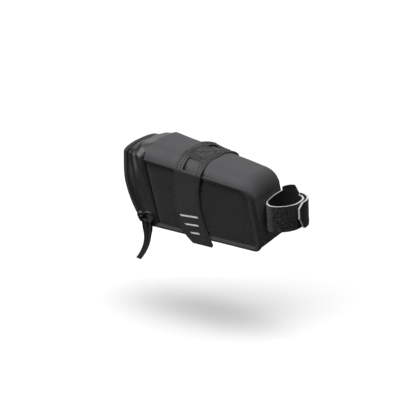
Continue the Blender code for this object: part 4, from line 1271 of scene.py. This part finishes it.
def strap_grid(side, columns=29, upper=64, lower=60):
    """Outer surface of one half of the strap, middle of the top to the tail's end."""
    width = STRAP_WIDTH / 2
    tail = BOTTOM_Z - PIPING_RADIUS - STRAP_TAIL
    stripes = []
    for k in range(columns):
        t = k / (columns - 1) * 2 - 1
        offset = t * width
        x0 = STRAP_X + offset + strap_shift(side)
        fold = top_line(x0) - (FOLD_DROP if side < 0 else 0.0045)
        down = []
        for i in range(lower + 1):
            share = i / lower
            z = fold + (tail - fold) * share
            low, high = -width, width
            rise = z - tail
            if rise < 0.010:
                low = -width + 0.0050 * (1 - rise / 0.010) ** 1.4
            if rise < 0.003:
                high = width - 0.0022 * (1 - rise / 0.003) ** 1.5
            o = low + (high - low) * (t + 1) / 2
            x = flap_centre_x(z) + strap_shift(side) + o
            stand = STRAP_GAP + 0.0003 * wobble((x, side, z), 0.03, 5.0)
            down.append((x, side * (half_width(x, z) + stand), z))
        even = resample(strap_column(offset, side) + [down[0]], count=upper + 1)
        stripes.append([tuple(p) for p in even] + down[1:])
    points = np.array(stripes).transpose(1, 0, 2)
    kernel = np.array([1, 4, 6, 4, 1]) / 16
    for _ in range(3):
        padded = np.concatenate([points[:1], points[:1], points, points[-1:], points[-1:]])
        mixed = sum(kernel[j] * padded[j:j + len(points)] for j in range(5))
        points[2:upper + 8] = mixed[2:upper + 8]
    normals = grid_normals(points)
    if normals[0, columns // 2, 2] < 0:
        normals = -normals
    return points + normals * STRAP_THICKNESS, normals


def inside_rounded(u, v, box, corner):
    """Whether a point lies in a rounded rectangle."""
    low_u, high_u, low_v, high_v = box
    du = max(low_u + corner - u, u - (high_u - corner), 0)
    dv = max(low_v + corner - v, v - (high_v - corner), 0)
    return du * du + dv * dv < corner * corner


def strap_half(side, word):
    columns = 57
    points, normals = strap_grid(side, columns, 128, 90)
    v = lengths(points, 0)[:, columns // 2]
    u = np.linspace(-STRAP_WIDTH / 2, STRAP_WIDTH / 2, columns)
    middle = points[:, columns // 2]
    start = float(v[np.argmax(np.abs(middle[:, 1]) > (0.0262 if side < 0 else 0.0112))])
    end = start + (0.0165 if side < 0 else 0.0150)
    box = (-0.0058, 0.0058, start, end)

    def hole(r, c):
        return inside_rounded((u[c] + u[c + 1]) / 2, (v[r] + v[r + 1]) / 2, box, 0.0012)

    flip = grid_normals(points)[0, columns // 2, 2] < 0
    sheet = points[:, ::-1] if flip else points
    norm = normals[:, ::-1] if flip else normals

    def turned(r, c):
        return hole(r, columns - 2 - c) if flip else hole(r, c)

    # stitched grooves along both edges, and the edges rounded off
    for r in range(sheet.shape[0]):
        for c in range(columns):
            uu = u[columns - 1 - c] if flip else u[c]
            groove = math.exp(-((abs(uu) - (STRAP_WIDTH / 2 - STITCH_INSET)) / 0.0005) ** 2)
            rounding = max(0.0, abs(uu) - (STRAP_WIDTH / 2 - 0.0008)) / 0.0008
            sheet[r, c] -= norm[r, c] * (0.00018 * groove + 0.0004 * rounding ** 2)
    flap = f"flap_{word}"
    made = shell(f"saddle_strap_{word}", sheet, STRAP_THICKNESS, (STRAP, BACKING, CUT), None, (), "strap",
                 hole=turned, normals=norm)
    fold = top_line(STRAP_X) - FOLD_DROP
    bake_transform(made)
    nodes = (f"strap_flap_{word}", f"hook_patch_{word}") + (("saddle_strap",) if side < 0 else ())
    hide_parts(*nodes)

    def at(uu, vv):
        r = float(np.interp(vv, v, np.arange(len(v))))
        c = float(np.interp(uu, u, np.arange(columns)))
        r0, c0 = min(int(r), len(v) - 2), min(int(c), columns - 2)
        fr, fc = r - r0, c - c0
        p = (points[r0, c0] * (1 - fr) * (1 - fc) + points[r0 + 1, c0] * fr * (1 - fc)
             + points[r0, c0 + 1] * (1 - fr) * fc + points[r0 + 1, c0 + 1] * fr * fc)
        return p, normals[r0, c0]

    def line(pairs):
        found = [at(a, b) for a, b in pairs]
        return [tuple(p) for p, _ in found], [tuple(m) for _, m in found]

    edge = STRAP_WIDTH / 2 - STITCH_INSET
    last = float(v[-1])
    fold_v = float(v[np.argmax(middle[:, 2] < fold)])
    upper, lower = [], []
    for s in (-1, 1):
        upper.append(line([(s * edge, b) for b in np.linspace(0.0, fold_v - 0.002, 60)]))
        stop = last - (0.0085 if s < 0 else 0.004)
        lower.append(line([(s * edge, b) for b in np.linspace(fold_v + 0.001, stop, 70)]))
    low, high = start - 0.0022, end + 0.0022
    frame_line = [(-0.0082, low), (0.0082, low), (0.0082, high), (-0.0082, high), (-0.0082, low)]
    for a, b in zip(frame_line, frame_line[1:]):
        upper.append(line([(a[0] + (b[0] - a[0]) * t, a[1] + (b[1] - a[1]) * t)
                           for t in np.linspace(0, 1, 24)]))
    stitches(f"strap_stitches_{word}_top", upper, THREAD, "bag", 0.0019, 0.0011, 0.00042)
    stitches(f"strap_stitches_{word}_flap", lower, THREAD, flap, 0.0019, 0.0011, 0.00042)
    hooks(side, word)
    if side < 0:
        print_mark(at, last)


def hooks(side, word):
    """The hook patch behind the flap and the loop patch on the bag."""
    fold = top_line(STRAP_X) - FOLD_DROP
    low = BOTTOM_Z + PIPING_RADIUS + 0.005
    for label, depth, body_name, replaced in (("loop", 0.0014, "bag", (f"loop_patch_{word}",)),
                                              ("hook", 0.0022, f"flap_{word}", ())):
        def place(z, offset):
            x = flap_centre_x(z) + strap_shift(side) + offset
            lift = depth + 0.00008 * wobble((x, side, z), 0.0012, 2.0)
            return x, side * (half_width(x, z) + lift), z

        points = grid(np.linspace(low, fold - 0.006, 24), np.linspace(-0.0104, 0.0104, 13), place)
        shell(f"{label}_{word}", facing(points, 1, side), 0.0006, (PILE, PILE), body_name,
              replaced, "pile")


def print_mark(at, last):
    """Three plain slanted bars, printed."""
    for i, (length, rise) in enumerate(((0.0180, 0.0302), (0.0135, 0.0217), (0.0090, 0.0132))):
        centre = last - rise
        def place(a, b):
            p, n = at(b * length + 0.0012 * a, centre + a * 0.0015 - b * length * 0.12)
            return p + n * 0.00012

        points = grid(np.linspace(-0.5, 0.5, 5), np.linspace(-0.5, 0.5, 25), place)
        shell(f"print_{i + 1}", facing(points, 1, -1), 0.0001, (FOIL,), "flap_right",
              (f"reflective_bar_{i + 1}",), "reflective")


def strap_pad():
    """The textured centre of the strap between its windows, with box and cross stitching."""
    right, normals_right = strap_grid(RIGHT, 41, 96, 4)
    left, normals_left = strap_grid(LEFT, 41, 96, 4)

    def part(points, normals):
        side = points[-1, 20, 1]
        keep = np.abs(points[:, 20, 1]) < (0.0215 if side < 0 else 0.0082)
        return points[keep], normals[keep]

    a, na = part(right, normals_right)
    b, nb = part(left, normals_left)
    points = np.concatenate([a[::-1], b[1:]])[:, 3:-3]
    normals = np.concatenate([na[::-1], nb[1:]])[:, 3:-3]
    rows, cols = points.shape[:2]
    for r in range(rows):
        for c in range(cols):
            rim = min(r, rows - 1 - r, c, cols - 1 - c)
            p = points[r, c]
            points[r, c] = p + normals[r, c] * (0.0005 if rim > 1 else 0.0001 + 0.0002 * rim)
            points[r, c] += normals[r, c] * 0.00012 * wobble(p, 0.0010, 3.0)
    if grid_normals(points)[rows // 2, cols // 2, 2] < 0:
        points, normals = points[:, ::-1], normals[:, ::-1]
    shell("strap_pad_pile", points, 0.0007, (PILE, PILE), "bag", ("strap_pad",), "pile", normals=normals)

    def at(r, c):
        i, j = int(r * (rows - 1)), int(c * (cols - 1))
        return tuple(points[i, j] + normals[i, j] * 0.0001), tuple(normals[i, j])

    lines = []
    square = [(0.06, 0.12), (0.06, 0.88), (0.94, 0.88), (0.94, 0.12), (0.06, 0.12), (0.94, 0.88)]
    for (r0, c0), (r1, c1) in list(zip(square, square[1:])) + [((0.06, 0.88), (0.94, 0.12))]:
        found = [at(r0 + (r1 - r0) * t, c0 + (c1 - c0) * t) for t in np.linspace(0, 1, 40)]
        lines.append(([p for p, _ in found], [m for _, m in found]))
    stitches("strap_pad_stitches", lines, THREAD_LIGHT, "bag", 0.0016, 0.0008, 0.00028, 0.00005)


# ---------------------------------------------------------------- seatpost strap

def post_frame():
    foot = side_arcs()[1][0]
    x = foot.x - math.tan(FRONT_LEAN) * (POST_STRAP_TOP - foot.y)
    down = Vector((math.sin(POST_STRAP_TILT), 0, -math.cos(POST_STRAP_TILT)))
    forward = Vector((math.cos(POST_STRAP_TILT), 0, math.sin(POST_STRAP_TILT)))
    return Vector((x + CROWN_FRONT_TOP + 0.0003, 0, POST_STRAP_TOP)), forward, down


def wall(name, plan, thickness, rises, cuts, materials, body, replaced, slot_name, fuzz=0.0, rows=17):
    """An upright band along a plan curve. rises and cuts give its top and bottom edges."""
    start, forward, down = post_frame()
    plan = np.asarray(plan, float)

    def place(share, i):
        top, low = -rises[i], POST_STRAP_WIDTH - cuts[i]
        return tuple(start + forward * plan[i, 0] + Vector((0, plan[i, 1], 0))
                     + down * (top + (low - top) * share))

    points = grid(np.linspace(0, 1, rows), range(len(plan)), place)
    normals = grid_normals(points)
    middle = points[rows // 2, len(plan) // 2]
    inward = np.array([start.x + 0.014, 0, middle[2]]) - middle
    if normals[rows // 2, len(plan) // 2].dot(inward) > 0:
        points = points[::-1]
        normals = grid_normals(points)
    points = points + normals * thickness
    if fuzz:
        for r in range(points.shape[0]):
            for c in range(points.shape[1]):
                p = points[r, c]
                inside = smooth(min(r, points.shape[0] - 1 - r) / 4)
                tuft = wobble(p, 0.0012, 2.0) + 0.5 * wobble(p, 0.0005)
                points[r, c] = p + normals[r, c] * fuzz * inside * tuft
    shell(name, points, thickness, materials, body, replaced, slot_name, normals=normals)
    return points, normals


def seatpost_strap():
    near = curve_through([(0.0046, -0.0146), (0.0075, -0.0195), (0.0130, -0.0238), (0.0200, -0.0226),
                          (0.0266, -0.0172), (0.0305, -0.0080), (0.0300, 0.0070), (0.0255, 0.0165),
                          (0.0215, 0.0196)], 200)
    level = [0.0] * len(near)
    wall("post_strap_right", near, 0.0019, level, level, (PILE, BACKING, LIGHT_CUT), "bag",
         ("seatpost_strap_right",), "pile", 0.00045, 61)
    base = curve_through([(0.0060, 0.0190), (0.0110, 0.0225), (0.0160, 0.0248), (0.0200, 0.0252)], 40)
    rises = [0.0072 + 0.0012 * math.sin(3 * i / 40) - 0.0065 * smooth((i - 28) / 11) for i in range(40)]
    wall("post_strap_base", base, 0.0018, rises, [0.0] * 40, (STRAP, BACKING, CUT), "bag",
         ("seatpost_strap_base",), "strap")
    tail = curve_through([(0.0204, 0.0262), (0.0260, 0.0225), (0.0315, 0.0150), (0.0345, 0.0060),
                          (0.0352, -0.0030), (0.0335, -0.0125)], 80)
    cuts = [0.0105 * smooth((i - 64) / 16) for i in range(80)]
    rises = [-0.0045 * smooth((i - 66) / 14) + 0.0006 for i in range(80)]
    points, norms = wall("post_strap_tail", tail, 0.0018, rises, cuts, (STRAP, BACKING, LIGHT_CUT),
                         "post_strap_tail", ("seatpost_strap_tail",), "strap")
    hook = curve_through([(0.0235, 0.0218), (0.0290, 0.0160), (0.0322, 0.0070), (0.0328, -0.0040)], 50)
    wall("post_tail_hook", hook, 0.0008, [-0.002] * 50, [0.002] * 50, (PILE, PILE), "post_strap_tail",
         ("tail_hook_patch",), "pile")
    lines = [(points[r, 4:70], norms[r, 4:70]) for r in (2, points.shape[0] - 3)]
    stitches("post_tail_stitches", lines, THREAD, "post_strap_tail", 0.0015, 0.0009, 0.00024)

    turn = curve_through([(0.0048, -0.0150), (0.0034, -0.0118), (0.0030, -0.0060), (0.0032, 0.0040),
                          (0.0044, 0.0130), (0.0064, 0.0192)], 60)
    wall("post_strap_turn", turn, 0.0013, [0.0004 + 0.0034 * i / 59 for i in range(60)], [0.004] * 60,
         (PILE, BACKING, LIGHT_CUT), "bag", (), "pile", 0.0002)
    start = post_frame()[0]
    face = Vector((math.cos(FRONT_LEAN), 0, math.sin(FRONT_LEAN)))
    down = Vector((math.sin(FRONT_LEAN), 0, -math.cos(FRONT_LEAN)))

    def place(a, b):
        p = start + face * 0.0019 + down * a * POST_STRAP_WIDTH + Vector((0, b * 0.0136, 0))
        return tuple(p - face * 0.0006 * math.exp(-min(min(a, 1 - a) * 24, (1 - abs(b)) * 14)))

    points = grid(np.linspace(0, 1, 25), np.linspace(-1, 1, 29), place)
    shell("anchor_pad", facing(points, 0, 1), 0.0018, (PILE, BACKING, CUT), "bag",
          ("seatpost_anchor",), "pile")


# ---------------------------------------------------------------- build

studio()
seams = body()
band_line, band_ups = band()
stitches("band_stitches", [(band_line, band_ups)], THREAD, "bag", 0.0026, 0.0013, 0.00046, 0.0002)
stitches("panel_stitches", seams, THREAD, "bag", 0.0023, 0.0009, 0.00036)
lining_bag()
lid()
lid_hinge()
zip_parts()
light_loop()
slider_ring_and_pull()
strap_half(RIGHT, "right")
strap_half(LEFT, "left")
strap_pad()
seatpost_strap()
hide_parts("bottom_board")
